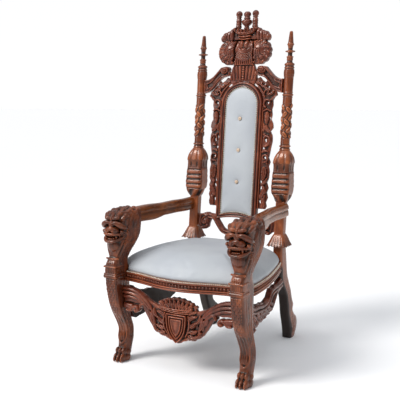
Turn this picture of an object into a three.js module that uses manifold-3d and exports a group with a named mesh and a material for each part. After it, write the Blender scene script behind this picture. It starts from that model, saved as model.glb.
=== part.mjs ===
// A high-backed carved throne: lion-headed front legs, turned back posts, a tall upholstered back
// panel under a carved crest, and a bowed, padded seat. Millimetres, +Z up, the sitter faces -Y.
import * as THREE from 'three';
import { mergeVertices } from 'three/addons/utils/BufferGeometryUtils.js';
import Module from 'manifold-3d';

const wasm = await Module();
wasm.setup();

// Driving dimensions. Y is 0 at the front toes until the whole chair is centred at the end.
const joint = 0.3; // clearance left where two pieces meet
const legX = 347; // middle of each front leg from the centre line
const postX = 262; // middle of each back post
const stileWide = 52;
const stileDeep = 50;
const rake = 0.107; // how far the back leans for each millimetre up
const rakeFootY = 622; // middle of the back at rakeFootZ
const rakeFootZ = 560;
const railLow = 420;
const railTop = 471;
const railThick = 40;
const padTop = 586;
const armLow = 712;
const armTop = 778;
const panelHalf = 97; // half width of the upholstered back
const archZ = 1295; // where the arch of the back panel springs
const frameWide = 26;
const panelLow = 692;
const crestLow = archZ + panelHalf + frameWide + joint; // the crest stands on the arch of the frame
const bulbLow = 782;
const bulbTop = 1057;
const skirtLow = 552;
const skirtTop = 613;
const postTip = 1677;
const crestTop = 1800;
const crestMidX = 87; // middle of each rounded mass of leaves on the crest
const crestMidZ = 1577;

// ---- helpers ----

const lean = (z) => rakeFootY + rake * (z - rakeFootZ);

const mix = (a, b, t) => a + (b - a) * t;

// Smooth values from a short table of [key, value, value, ...] rows, by Catmull-Rom between rows.
function fromTable(table, key) {
  let row = table.findIndex((entry) => entry[0] >= key);
  row = Math.min(Math.max(row, 1), table.length - 1);
  const [before, after] = [table[row - 1], table[row]];
  const first = table[Math.max(row - 2, 0)];
  const last = table[Math.min(row + 1, table.length - 1)];
  const span = after[0] - before[0];
  const t = THREE.MathUtils.clamp((key - before[0]) / span, 0, 1);
  return before.slice(1).map((value, column) => {
    const c = column + 1;
    const slopeIn = span * (after[c] - first[c]) / (after[0] - first[0]);
    const slopeOut = span * (last[c] - before[c]) / (last[0] - before[0]);
    const [t2, t3] = [t * t, t * t * t];
    return value * (2 * t3 - 3 * t2 + 1) + slopeIn * (t3 - 2 * t2 + t)
      + after[c] * (3 * t2 - 2 * t3) + slopeOut * (t3 - t2);
  });
}

// A closed skin: the vertices of a cylinder, each put where place(along, around, reach) says.
// reach is 0 at the middle of an end and 1 on the wall.
function skin(sides, rings, place) {
  const geometry = new THREE.CylinderGeometry(1, 1, 1, sides, rings);
  const points = geometry.attributes.position;
  for (let i = 0; i < points.count; i += 1) {
    const around = Math.atan2(points.getX(i), points.getZ(i));
    const reach = Math.round(Math.hypot(points.getX(i), points.getZ(i)));
    points.setXYZ(i, ...place(0.5 - points.getY(i), around, reach));
  }
  return outward(geometry);
}

function flipped(geometry) {
  const index = geometry.index.array;
  for (let i = 0; i < index.length; i += 3) {
    [index[i + 1], index[i + 2]] = [index[i + 2], index[i + 1]];
  }
  return geometry;
}

// Keeps only positions, welds them, and turns the faces outward.
function outward(geometry) {
  const bare = new THREE.BufferGeometry();
  bare.setAttribute('position', geometry.attributes.position.clone());
  if (geometry.index) {
    bare.setIndex(geometry.index.clone());
  }
  const welded = mergeVertices(bare, 1e-3);
  const points = welded.attributes.position;
  const index = welded.index.array;
  const corner = ring(3, () => new THREE.Vector3());
  let volume = 0;
  for (let i = 0; i < index.length; i += 3) {
    corner.forEach((vector, c) => vector.fromBufferAttribute(points, index[i + c]));
    volume += corner[0].dot(corner[1].clone().cross(corner[2]));
  }
  return volume < 0 ? flipped(welded) : welded;
}

function ring(count, make) {
  return Array.from({ length: count }, (_, i) => make(i));
}

function toSolid(geometry) {
  const clean = outward(geometry);
  const mesh = new wasm.Mesh({
    numProp: 3,
    vertProperties: new Float32Array(clean.attributes.position.array),
    triVerts: new Uint32Array(clean.index.array),
  });
  return new wasm.Manifold(mesh);
}

function toGeometry(solid) {
  const mesh = solid.getMesh();
  const geometry = new THREE.BufferGeometry();
  geometry.setAttribute('position', new THREE.BufferAttribute(mesh.vertProperties, 3));
  geometry.setIndex(new THREE.BufferAttribute(mesh.triVerts, 1));
  return geometry;
}

const joined = (parts) => toGeometry(parts.map(toSolid).reduce((whole, part) => whole.add(part)));

function cut(geometry, tools) {
  const whole = toSolid(geometry);
  return toGeometry(tools.map(toSolid).reduce((left, tool) => left.subtract(tool), whole));
}

function mirrored(geometry) {
  return flipped(geometry.clone().scale(-1, 1, 1));
}

function box(x0, x1, y0, y1, z0, z1) {
  return new THREE.BoxGeometry(x1 - x0, y1 - y0, z1 - z0)
    .translate((x0 + x1) / 2, (y0 + y1) / 2, (z0 + z1) / 2);
}

// An ellipsoid at middle with radii, rolled about Y after it is scaled.
function blob(middle, radii, roll = 0, around = 8, down = 6) {
  return new THREE.SphereGeometry(1, around, down).rotateX(Math.PI / 2)
    .scale(...radii).rotateY(roll).translate(...middle);
}

function shapeOf(points) {
  return new THREE.Shape(points.map(([x, y]) => new THREE.Vector2(x, y)));
}

// A board drawn in X and Z, from yFront back to yBack, with an optional bevel on both faces.
function board(shape, yFront, yBack, bevel = 0) {
  return new THREE.ExtrudeGeometry(shape, {
    depth: yBack - yFront - 2 * bevel,
    bevelEnabled: bevel > 0,
    bevelThickness: bevel,
    bevelSize: bevel,
    bevelOffset: -bevel,
    bevelSegments: 1,
    curveSegments: 8,
  }).rotateX(Math.PI / 2).translate(0, yBack - bevel, 0);
}

// A board drawn in Y and Z, from x0 to x1.
function sideBoard(shape, x0, x1, bevel = 0) {
  return new THREE.ExtrudeGeometry(shape, {
    depth: x1 - x0 - 2 * bevel,
    bevelEnabled: bevel > 0,
    bevelThickness: bevel,
    bevelSize: bevel,
    bevelOffset: -bevel,
    bevelSegments: 1,
    curveSegments: 8,
  }).applyMatrix4(new THREE.Matrix4().makeBasis(
    new THREE.Vector3(0, 1, 0), new THREE.Vector3(0, 0, 1), new THREE.Vector3(1, 0, 0),
  )).translate(x0 + bevel, 0, 0);
}

// A flat ribbon of changing width along a path(t) in X and Z: straps, C-scrolls and volutes.
function ribbon(path, width, steps) {
  const [near, far] = [[], []];
  for (let i = 0; i <= steps; i += 1) {
    const t = i / steps;
    const [a, b] = [path(Math.max(t - 0.01, 0)), path(Math.min(t + 0.01, 1))];
    const run = new THREE.Vector2(b[0] - a[0], b[1] - a[1]).normalize();
    const [x, z] = path(t);
    const half = width(t) / 2;
    near.push([x - run.y * half, z + run.x * half]);
    far.unshift([x + run.y * half, z - run.x * half]);
  }
  return shapeOf([...near, ...far]);
}

// A spiral about a middle, from radius r0 at angle a0 to radius r1 at angle a1.
function spiral(middle, r0, r1, a0, a1) {
  return (t) => {
    const [radius, angle] = [mix(r0, r1, t), mix(a0, a1, t)];
    return [middle[0] + radius * Math.cos(angle), middle[1] + radius * Math.sin(angle)];
  };
}

function bezier(a, b, c, d) {
  const curve = new THREE.CubicBezierCurve(...[a, b, c, d].map(([x, y]) => new THREE.Vector2(x, y)));
  return (t) => curve.getPoint(t).toArray();
}

// Leans a piece back with the raked plane of the chair's back.
function leaned(geometry) {
  const points = geometry.attributes.position;
  for (let i = 0; i < points.count; i += 1) {
    points.setY(i, points.getY(i) + lean(points.getZ(i)));
  }
  return geometry;
}

// A rounded square section: half sizes a and b, squareness from 2 (ellipse) upward.
function squircle(around, a, b, squareness) {
  const [c, s] = [Math.cos(around), Math.sin(around)];
  const size = (Math.abs(c) ** squareness + Math.abs(s) ** squareness) ** (-1 / squareness);
  return [a * c * size, b * s * size];
}

// ---- front legs: paw, fluted shank, carved knee, collar and lion head in one piece ----

const legTable = [
  // height, front, back, width, squareness
  [0, 10, 76, 54, 3],
  [20, 8, 86, 62, 2.8],
  [45, 22, 95, 64, 2.8],
  [75, 36, 103, 65, 3],
  [120, 43, 110, 70, 4],
  [165, 44, 110, 72, 4],
  [210, 24, 93, 74, 4],
  [260, -6, 80, 74, 4],
  [310, -28, 75, 73, 5],
  [370, -42, 75, 72, 6],
  [430, -50, 75, 72, 8],
  [478, -54, 75, 72, 8],
  [508, -54, 58, 74, 5],
  [530, -36, 62, 72, 4],
  [548, -14, 84, 70, 3],
  [575, -18, 110, 78, 3.5],
  [612, -26, 142, 84, 4],
  [650, -38, 160, 88, 4],
  [700, -42, 164, 90, 4],
  [745, -40, 158, 88, 4],
  [772, -26, 130, 80, 4],
  [788, 0, 96, 62, 3],
];
const legRings = 18;
const legSides = 14;
const fluteDeep = 5;

function legBody() {
  const top = legTable[legTable.length - 1][0];
  return skin(legSides, legRings, (along, around, reach) => {
    const z = top * (1 - along);
    const [front, back, width, squareness] = fromTable(legTable, z);
    const flute = (Math.round(around / (2 * Math.PI) * legSides) % 2) * fluteDeep;
    const inset = reach * (z > 90 && z < 430 ? flute : 0);
    const [x, y] = squircle(around, width / 2 - inset, (back - front) / 2 - inset, squareness);
    return [x * reach, (front + back) / 2 + y * reach, z];
  });
}

function lionFace() {
  const pair = (x, y, z, radii, roll) => [
    blob([x, y, z], radii, roll, 5, 4), blob([-x, y, z], radii, -roll, 5, 4),
  ];
  return [
    ...pair(21, -40, 742, [20, 16, 10], 0.25), // brows
    blob([0, -50, 722], [12, 20, 26], 0, 5, 4), // bridge of the nose
    ...pair(15, -56, 699, [17, 31, 15], 0.1), // whisker pads
    blob([0, -48, 646], [22, 22, 10], 0, 5, 4), // lower jaw
    blob([0, -28, 612], [16, 15, 34], 0, 5, 4), // leaf under the chin
    ...pair(37, -4, 655, [11, 24, 34], 0), // cheek folds
    ...pair(24, 12, 778, [17, 36, 12], 0.3), // curls over the ears
  ];
}

function toes() {
  return ring(3, (i) => blob([(i - 1) * 19, 22, 16], [10.5, 24, 15.9], 0, 5, 4));
}

const ledgeLow = 446;
const ledgeHigh = 462;

function ledge() {
  return box(-38, 38, -58, 20, ledgeLow, ledgeHigh);
}

function legGeometry() {
  const mouth = blob([0, -66, 671], [22, 30, 12], 0, 6, 4);
  const body = joined([legBody(), ...toes(), ledge(), ...lionFace()]);
  return cut(body, [mouth]).translate(legX, 0, 0);
}

// ---- back posts: rear leg, stile, petal skirt, ridged bulb, turned shaft and finial ----

const shaftProfile = [
  // radius, height from the top of the bulb to the tip
  [26, 1068], [30, 1077], [25, 1086], [25, 1112], [29, 1140], [26, 1190],
  [29, 1240], [25, 1300], [25, 1338], [28, 1345], [25, 1352], [26, 1476],
  [21, 1484], [26, 1493], [26, 1507], [13, 1520], [17, 1542], [12, 1556],
  [25, 1567], [25, 1575], [12, 1580], [16, 1607], [10, postTip],
];

function shaft() {
  const points = [[0, bulbTop - 20], ...shaftProfile, [0, postTip]];
  const outline = points.map(([radius, z]) => new THREE.Vector2(radius, z));
  return new THREE.LatheGeometry(outline, 8).rotateX(Math.PI / 2);
}

const bulbTable = [
  // height, half width, half depth, squareness
  [bulbLow - 4, 22, 20, 3],
  [806, 34, 31, 3],
  [832, 47, 42, 5],
  [926, 48, 43, 5],
  [965, 47, 42, 5],
  [1005, 49, 44, 4],
  [1035, 42, 38, 3],
  [bulbTop, 26, 25, 2],
];
const bulbRidges = [842, 868, 895, 926];
const ridgeHigh = 13;
const bulbSides = 10;

const bulbLevels = [bulbLow - 4, 832, 842, 855, 868, 881, 895, 910, 926, 940, 1005, 1036, bulbTop];

function bulb() {
  const steps = bulbLevels.length - 1;
  return skin(bulbSides, steps, (along, around, reach) => {
    const z = bulbLevels[Math.round((1 - along) * steps)];
    const [wide, deep, squareness] = fromTable(bulbTable, z);
    const near = Math.min(...bulbRidges.map((ridge) => Math.abs(z - ridge)));
    const groove = near > ridgeHigh / 2 && z > 842 && z < 930 ? 5 : 0;
    const [x, y] = squircle(around, wide - groove, deep - groove, squareness);
    return [x * reach, y * reach, z];
  });
}

function skirt() {
  const sides = 16;
  return skin(sides, 2, (along, around, reach) => {
    const petal = Math.round(around / (2 * Math.PI) * sides) % 2 ? 1 : 0;
    const half = mix(27, 65, along ** 1.6) - petal * 4 * along;
    const [x, y] = squircle(around, half, half, 3);
    const rise = reach * along * petal * 8;
    return [x * reach, y * reach, mix(skirtTop, skirtLow, along) + rise];
  });
}

const footSplay = 15; // how far the rear foot stands inside the line of its post
const splayTop = 392; // where the rear leg starts to lean inward

function rearLeg() {
  const side = stileWide / 2;
  const upper = [[597, splayTop], [597, 556], [660, 556], [676, 460], [686, splayTop]];
  const lower = [[597, splayTop], [604, 356], [640, 322], [686, 262], [706, 201], [730, 128],
    [762, 60], [776, 24], [776, 0], [828, 0], [842, 36], [847, 75], [816, 128], [786, 188],
    [790, 212], [768, 234], [752, 281], [716, 344], [686, splayTop]];
  const foot = sideBoard(shapeOf(lower), -side, side);
  const points = foot.attributes.position;
  for (let i = 0; i < points.count; i += 1) {
    points.setX(i, points.getX(i) - footSplay * (1 - points.getZ(i) / splayTop));
  }
  return joined([sideBoard(shapeOf(upper), -side, side), foot]);
}

function postGeometry() {
  const stile = box(-stileWide / 2, stileWide / 2, -stileDeep / 2, stileDeep / 2, 500, bulbLow);
  const upper = leaned(joined([stile, skirt(), bulb(), shaft()]));
  return joined([upper, rearLeg()]).translate(postX, 0, 0);
}

// ---- seat: four rails and the pad ----

// The seat's outer edge in plan, by the angle from its middle: bowed in front and at the sides.
const frontBow = [
  // distance from the centre line, front edge
  [0, -30], [90, -20], [150, -3], [210, 14], [270, 26], [311, 31],
];
const sideBow = [
  // depth, outer edge of the side rail
  [74, 374], [110, 376], [175, 373], [282, 362], [350, 349], [420, 334], [520, 310], [600, 287],
];

function railSection(inner) {
  // offset inward from the outer edge, and height: two ridges below, a bead moulding above
  return [[inner, railLow], [3, railLow], [0, railLow + 4], [0, railLow + 12], [5, railLow + 16],
    [5, railLow + 26], [1, railLow + 32], [1, railTop - 8], [7, railTop], [inner, railTop]];
}

// A rail along edge(t) with its section turned inward to the left of its run.
function rail(edge, steps, thick) {
  const section = railSection(thick);
  return skin(section.length, steps, (along, around, reach) => {
    const turn = Math.round(around / (2 * Math.PI) * section.length) + section.length;
    const [a, b] = [edge(Math.max(along - 0.02, 0)), edge(Math.min(along + 0.02, 1))];
    const run = new THREE.Vector2(b[0] - a[0], b[1] - a[1]).normalize();
    const [x, y] = edge(along);
    const [inward, z] = reach ? section[turn % section.length] : [thick / 2, (railLow + railTop) / 2];
    return [x - run.y * inward, y + run.x * inward, z];
  });
}

function frontRail() {
  const half = legX - 36 - joint;
  const edge = (t) => {
    const x = mix(-half, half, t);
    return [x, fromTable(frontBow, Math.abs(x))[0]];
  };
  return rail(edge, 10, railThick);
}

function sideRail() {
  const [front, back] = [75, 597 - joint];
  const edge = (t) => {
    const y = mix(front, back, t);
    return [fromTable(sideBow, y)[0], y];
  };
  return rail(edge, 7, railThick);
}

function backRail() {
  const half = postX - stileWide / 2 - joint;
  return box(-half, half, 612, 652, railLow, railTop);
}

function padOutline(inset) {
  const front = ring(7, (i) => mix(-309, 309, i / 6)).map((x) => [
    x, fromTable(frontBow, Math.abs(x))[0] + inset,
  ]);
  const side = [70, 180, 300, 430, 570].map((y) => [
    fromTable(sideBow, Math.max(y, 74))[0] - inset, y,
  ]);
  const other = side.map(([x, y]) => [-x, y]).reverse();
  return [...front, ...side, [210, 636], [-210, 636], ...other];
}

const padLevels = [
  // height, share of the outline's size
  [railTop + joint, 0.985], [500, 1], [540, 0.99], [565, 0.93], [579, 0.72], [padTop, 0.4],
];

function seatPad() {
  const outline = padOutline(9);
  const middleY = 300;
  const steps = padLevels.length - 1;
  const pad = skin(outline.length, steps, (along, around, reach) => {
    const [z, share] = padLevels[Math.round((1 - along) * steps)];
    const turn = Math.round(around / (2 * Math.PI) * outline.length) + outline.length;
    const [x, y] = outline[turn % outline.length];
    return [x * share * reach, middleY + (y - middleY) * share * reach, z];
  });
  const clear = 2;
  const leg = (x) => box(x - 38 - clear, x + 38 + clear, -200, 76 + clear, 0, 540);
  const mane = (x) => box(x - 41 - clear, x + 41 + clear, -200, 122 + clear, 536, 900);
  const post = (x) => box(x - 30 - clear, x + 30 + clear, 586 - clear, 900, 0, 900);
  const petals = (x) => box(x - 66 - clear, x + 66 + clear, 552 - clear, 900, 548, 900);
  return cut(pad, [1, -1].flatMap((side) => [
    leg(side * legX), mane(side * legX), post(side * postX), petals(side * postX),
  ]));
}

// ---- arms ----

const armPath = [
  // depth, middle of the arm, half width, underside
  [164, 336, 30, 700], [290, 316, 28, 696], [330, 308, 27, 706], [370, 301, 27, armLow],
  [480, 290, 26, armLow], [600, 284, 26, armLow],
];
const armBreak = 746; // height of the moulding line along the arm

function armSection(half, low) {
  return [[half - 7, low], [half - 2, low + 10], [half - 5, armBreak], [half, armBreak + 6],
    [half - 9, armTop], [9 - half, armTop], [-half, armBreak + 6], [5 - half, armBreak],
    [2 - half, low + 10], [7 - half, low]];
}

function armGeometry() {
  const [front, back] = [armPath[0][0] + joint, 636];
  const sides = 10;
  const arm = skin(sides, 6, (along, around, reach) => {
    const y = mix(front, back, along);
    const [middle, half, low] = fromTable(armPath, Math.min(y, 600));
    const turn = Math.round(around / (2 * Math.PI) * sides) + sides;
    const [x, z] = reach ? armSection(half, low)[turn % sides] : [0, (low + armTop) / 2];
    return [middle + x, y, z];
  });
  const y = lean((armLow + armTop) / 2);
  const post = box(postX - stileWide / 2 - joint, postX + stileWide / 2 + joint,
    y - stileDeep / 2 - 4, y + 200, 600, 900);
  return cut(arm, [post]);
}

// ---- back panel: frame, pad and buttons ----

function archPoints(half, low, steps) {
  const arc = ring(steps + 1, (i) => {
    const angle = Math.PI * i / steps;
    return [half * Math.cos(angle), archZ + half * Math.sin(angle)];
  });
  return [...ring(5, (i) => {
    const x = mix(-half, half, i / 4);
    return [x, low + 16 * (1 - (x / half) ** 2)];
  }), ...arc];
}

function backFrame() {
  const outer = shapeOf(archPoints(panelHalf + frameWide, panelLow - 24, 12));
  outer.holes.push(shapeOf(archPoints(panelHalf, panelLow, 12).reverse()));
  return leaned(toGeometry(toSolid(board(outer, -18, 16))));
}

const padFront = -26; // the back pad's face, before it leans

function backPad() {
  const shape = shapeOf(archPoints(panelHalf - 1.5, panelLow + 1.5, 12));
  return leaned(toGeometry(toSolid(board(shape, padFront, 12, 7))));
}

function backButton(z) {
  const y = padFront - joint;
  return leaned(outward(blob([0, y - 5, z], [10, 5, 10], 0, 8, 4)));
}

// ---- pierced carving down each side of the back ----

function sideCarving() {
  const inner = panelHalf + frameWide + joint;
  const edge = ring(13, (i) => {
    const z = mix(746, 1330, i / 12);
    return [179 + 6 * Math.sin(i * 2.1), z];
  });
  const shape = shapeOf([[inner, 736], [168, 736], ...edge, [204, 1346], [196, 1362], [140, 1400],
    [84, 1424], [66, 1412], [98, 1384], [116, 1346], [inner + 3, 1296]]);
  [[150, 772, 20], [154, 868, 16], [150, 1050, 15], [152, 1216, 20]].forEach(([x, z, high]) => {
    shape.holes.push(new THREE.Path([[-9, 0], [0, high], [9, 0], [0, -high]].map(([dx, dz]) => (
      new THREE.Vector2(x + dx, z + dz)))));
  });
  const scrolls = [[156, 1092, 1], [156, 1276, -1]].map(([x, z, turn]) => (
    board(ribbon(spiral([x, z], 25, 12, turn * 2.2, turn * -2.6), (t) => mix(11, 8, t), 5), -16, -6)
  ));
  const husks = [820, 930, 1160].map((z, i) => (
    blob([156, -9, z], [18, 9, 38], i % 2 ? 0.25 : -0.25, 5, 3)));
  return leaned(joined([board(shape, -10, 10), ...scrolls, ...husks]));
}

// ---- top rails with their volutes ----

const volute = [110, 1481];

function topRail() {
  const inner = 80 + joint;
  const outer = postX - 26 - joint;
  const rise = bezier([outer, 1394], [200, 1396], [168, 1422], [inner, 1458]);
  const wide = (t) => mix(74, 54, Math.min(t * 2, 1));
  const plate = board(ribbon(rise, wide, 5), -16, 14);
  const groove = board(ribbon(rise, (t) => wide(t) * 0.38, 5), -40, -10);
  const roll = new THREE.CylinderGeometry(18, 18, 40, 8).scale(1.4, 1, 1)
    .translate(volute[0], -2, volute[1]);
  const eye = board(ribbon(spiral(volute, 18, 7, 2.6, -2.2), () => 7, 6), -28, -20);
  const trims = [
    box(-200, inner, -300, 300, 1000, 2000), box(outer, outer + 300, -300, 300, 1000, 2000),
  ];
  return leaned(cut(joined([cut(plate, [groove]), roll, eye]), trims));
}

// ---- crest ----

function crestOutline() {
  const scallops = ring(13, (i) => {
    const angle = mix(-1.7, 1.2, i / 12);
    const radius = i % 2 ? 65 : 72;
    return [crestMidX + radius * Math.cos(angle), crestMidZ + radius * Math.sin(angle)];
  });
  const fan = [[0, crestLow], [80, 1432], [72, 1480], [60, 1506]];
  const lobes = [[128, 1650], [130, 1668], [118, 1686], [100, 1690], [82, 1698], [64, 1690]];
  const half = [...fan, ...scallops, ...lobes, [0, 1690]];
  const other = half.slice(1, -1).map(([x, z]) => [-x, z]).reverse();
  return shapeOf([...half, ...other]);
}

function crestGeometry() {
  const pair = (x, y, z, radii, roll = 0) => [
    blob([x, y, z], radii, roll, 5, 4), blob([-x, y, z], radii, -roll, 5, 4),
  ];
  const leaves = ring(2, (i) => {
    const angle = mix(-0.8, 0.8, i);
    const [x, z] = [crestMidX + 34 * Math.cos(angle), crestMidZ + 34 * Math.sin(angle)];
    return pair(x, -10, z, [34, 16, 18], -angle);
  }).flat();
  const flutes = ring(3, (i) => box(i * 44 - 56, i * 44 - 32, -18, 0, crestLow + 18, 1508));
  const uprights = [-49, 49].flatMap((x) => [
    new THREE.CylinderGeometry(13, 14, 88, 6).rotateX(Math.PI / 2).translate(x, 0, 1728),
    blob([x, 0, crestTop - 18], [18, 18, 18], 0, 6, 5),
  ]);
  const urn = new THREE.LatheGeometry([[0, 1680], [12, 1704], [30, 1730], [28, 1744], [14, 1758],
    [18, 1770], [18, 1786], [0, 1794]].map(([r, z]) => new THREE.Vector2(r, z)), 8).rotateX(Math.PI / 2);
  return leaned(joined([
    board(crestOutline(), -10, 14), ...leaves, ...flutes, ...uprights, urn,
    blob([0, -12, 1598], [46, 24, 54], 0, 8, 6), // shell in the middle
    ...pair(46, -14, 1616, [30, 14, 20], 0.4), // leaves beside the shell
    ...pair(102, -6, 1664, [26, 14, 26]), // upper lobes
    box(-62, 62, -24, 20, 1664, 1696), // crown rim
  ]));
}

// ---- lower back rail ----

function lowerBackRail() {
  const outer = postX - stileWide / 2 - joint;
  const half = (side) => {
    const run = [[176, 676], [120, 668], [100, 596], [0, 588]].map(([x, z]) => [side * x, z]);
    const strap = ribbon(bezier(...run), (t) => mix(34, 24, t), 4);
    const block = shapeOf([[outer, 626], [outer, 686], [196, 692], [160, 700], [150, 668], [166, 618],
      [200, 606]].map(([x, z]) => [side * x, z]));
    const boss = blob([side * 180, -12, 652], [22, 14, 26], 0, 6, 4);
    return [board(strap, -12, 10), board(block, -14, 12), boss];
  };
  return leaned(joined([...half(1), ...half(-1), blob([0, -6, 590], [34, 16, 15], 0, 6, 4)]));
}

// ---- aprons ----

const apronFront = 14;
const apronBack = 42;

function frontApron() {
  const end = legX - 36 - joint;
  const middle = (apronFront + apronBack) / 2;
  const both = (points) => {
    const other = points.filter(([x]) => x > 0).map(([x, z]) => [-x, z]).reverse();
    return [...points, ...other];
  };
  const half = [[0, 150], [40, 168], [66, 180], [98, 180], [118, 192], [140, 210], [162, 240], [184, 274],
    [204, 308], [224, 322], [244, 318], [end, 320], [end, 396], [250, 394], [214, 378], [170, 362],
    [128, 334], [104, 326], [104, 354], [80, 362], [48, 368], [20, 378]];
  const pair = (x, z, radii, roll = 0) => [
    blob([x, apronFront, z], radii, roll, 5, 3), blob([-x, apronFront, z], radii, -roll, 5, 3),
  ];
  const shield = both([[0, 154], [34, 186], [54, 230], [58, 302]]);
  const knobs = [1, -1].flatMap((side) => {
    const curl = ribbon(spiral([side * 236, 282], 17, 5, Math.PI / 2 - side * 1.2, Math.PI / 2 + side * 3.4),
      () => 14, 7);
    const bar = shapeOf([[240, 270], [end, 274], [end, 330], [292, 330], [288, 300], [240, 298]]
      .map(([x, z]) => [side * x, z]));
    return [board(curl, apronFront, apronBack), board(bar, apronFront + 2, apronBack - 2)];
  });
  const pierced = [1, -1].flatMap((side) => [[134, 240, 0.6], [96, 292, 0]].map(
    ([x, z, roll]) => blob([side * x, middle, z], [9, 60, 18], side * roll, 4, 3),
  ));
  return cut(joined([
    board(shapeOf(both(half)), apronFront, apronBack), ...knobs,
    board(shapeOf(shield), apronFront - 12, middle),
    ...pair(34, 332, [26, 16, 24]), // crown
    blob([0, apronFront, 340], [17, 18, 28], 0, 6, 4),
    ...pair(82, 250, [16, 12, 40], 0.35), // leaves beside the shield
    ...pair(112, 212, [30, 12, 14], -0.5),
    ...pair(146, 318, [44, 12, 13], 0.5),
  ]), pierced);
}

const apronTaper = 0.09; // the side aprons close in toward the rear legs, like the seat

function sideApron() {
  const outline = [[95, 222], [187, 214], [236, 220], [293, 229], [352, 218], [413, 208], [446, 214],
    [476, 230], [492, 262], [506, 292], [522, 312], [603.6, 330], [603.6, 356], [598.2, 384], [500, 369],
    [422, 369], [404, 350], [390, 335], [348, 325], [319, 324], [260, 334], [204, 339], [140, 350],
    [100, 380], [75.6, 390], [75.8, 300], [84, 258]];
  const boss = (y, z) => blob([334, y, z], [10, 50, 28], 0, 6, 4);
  const apron = joined([sideBoard(shapeOf(outline), 314, 338), boss(210, 276), boss(360, 270)]);
  const points = apron.attributes.position;
  for (let i = 0; i < points.count; i += 1) {
    points.setX(i, points.getX(i) - apronTaper * (points.getY(i) - 75));
  }
  return apron;
}

// ---- materials, named meshes and assembly ----

const finish = {
  wood: { color: 0x7a3f24, roughness: 0.35, metalness: 0 },
  upholstery: { color: 0xc7cbce, roughness: 0.8, metalness: 0 },
  button: { color: 0xc9ae92, roughness: 0.6, metalness: 0 },
};

const throne = new THREE.Group();

function add(name, geometry, look = 'wood') {
  const piece = new THREE.Mesh(geometry, new THREE.MeshStandardMaterial(finish[look]));
  piece.name = name;
  throne.add(piece);
}

function addPair(name, right) {
  add(`${name}_left`, mirrored(right));
  add(`${name}_right`, right);
}

addPair('front_leg', legGeometry());
addPair('back_post', postGeometry());
addPair('arm', armGeometry());
add('seat_rail_front', frontRail());
addPair('seat_rail_side', sideRail());
add('seat_rail_back', backRail());
add('seat_pad', seatPad(), 'upholstery');
add('back_frame', backFrame());
add('back_pad', backPad(), 'upholstery');
[1220, 1050, 878].forEach((z, i) => add(`back_button_${i + 1}`, backButton(z), 'button'));
addPair('side_carving', sideCarving());
addPair('top_rail', topRail());
add('crest', crestGeometry());
add('lower_back_rail', lowerBackRail());
add('front_apron', frontApron());
addPair('side_apron', sideApron());

const extent = new THREE.Box3().setFromObject(throne);
throne.position.y = -(extent.min.y + extent.max.y) / 2;

export default throne;
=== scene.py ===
import math

import bmesh
import bpy
import numpy as np
import openvdb
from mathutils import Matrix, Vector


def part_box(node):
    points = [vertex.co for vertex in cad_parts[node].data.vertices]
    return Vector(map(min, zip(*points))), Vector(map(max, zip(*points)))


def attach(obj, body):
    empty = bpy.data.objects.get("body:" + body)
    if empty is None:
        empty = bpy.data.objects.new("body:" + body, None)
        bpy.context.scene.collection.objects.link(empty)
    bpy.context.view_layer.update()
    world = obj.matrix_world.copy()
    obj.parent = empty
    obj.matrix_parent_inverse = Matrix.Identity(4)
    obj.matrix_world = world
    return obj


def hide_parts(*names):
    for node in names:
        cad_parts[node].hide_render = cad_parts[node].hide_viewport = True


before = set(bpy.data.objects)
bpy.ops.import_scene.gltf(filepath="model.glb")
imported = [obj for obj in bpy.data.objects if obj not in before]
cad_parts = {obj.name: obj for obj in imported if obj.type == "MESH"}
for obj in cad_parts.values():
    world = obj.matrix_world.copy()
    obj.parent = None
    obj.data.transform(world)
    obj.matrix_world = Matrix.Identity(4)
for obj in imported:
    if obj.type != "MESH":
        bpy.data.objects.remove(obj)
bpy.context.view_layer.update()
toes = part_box("seat_rail_back")[0][1] - 0.612   # depth of the toe line: depths below are counted back from it
carver = np.random.default_rng(7)               # the one source of chance, seeded


def easeTable(rows, at):
    # smooth curve through rows of (key, value, value...), one slope per row shared by both its sides
    rows = np.asarray(rows, float)
    keys, values = rows[:, 0], rows[:, 1:]
    slopes = np.gradient(values, keys, axis=0)
    at = np.clip(at, keys[0], keys[-1])
    i = np.clip(np.searchsorted(keys, at) - 1, 0, len(keys) - 2)
    span = (keys[i + 1] - keys[i])[:, None]
    t = ((at - keys[i]) / span[:, 0])[:, None]
    a, b = 2 * t**3 - 3 * t**2 + 1, t**3 - 2 * t**2 + t
    return values[i] * a + slopes[i] * b * span + values[i + 1] * (1 - a) + slopes[i + 1] * (t**3 - t**2) * span


def curveThrough(points, count):
    # evenly parted points on a smooth curve that passes through the given ones
    points = np.asarray(points, float)
    if len(points) < 3:
        return points[0] + np.linspace(0, 1, count)[:, None] * (points[-1] - points[0])
    keys = np.concatenate([[0], np.cumsum(np.linalg.norm(np.diff(points, axis=0), axis=1))])
    return easeTable(np.column_stack([keys, points]), np.linspace(0, keys[-1], count))


def spiralLine(middle, r0, r1, a0, a1, count=26):
    # a spiral about middle, its radius and its angle both changing evenly
    angle, radius = np.linspace(a0, a1, count), np.linspace(r0, r1, count)
    return np.column_stack([middle[0] + radius * np.cos(angle), middle[1] + radius * np.sin(angle)])


def smoothStep(low, high, value):
    t = np.clip((value - low) / (high - low), 0, 1)
    return t * t * (3 - 2 * t)


def softMin(a, b, blend):
    h = np.maximum(blend - np.abs(a - b), 0) / blend
    return np.minimum(a, b) - h * h * blend / 4


def turnedBy(p, turn):
    # p is a list of three coordinate arrays; turn is three angles about X, Y and Z, in radians
    x, y, z = p
    for axis, angle in enumerate(turn):
        if not angle:
            continue
        c, s = math.cos(angle), math.sin(angle)
        if axis == 0:
            y, z = c * y + s * z, c * z - s * y
        elif axis == 1:
            z, x = c * z + s * x, c * x - s * z
        else:
            x, y = c * x + s * y, c * y - s * x
    return x, y, z


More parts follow.
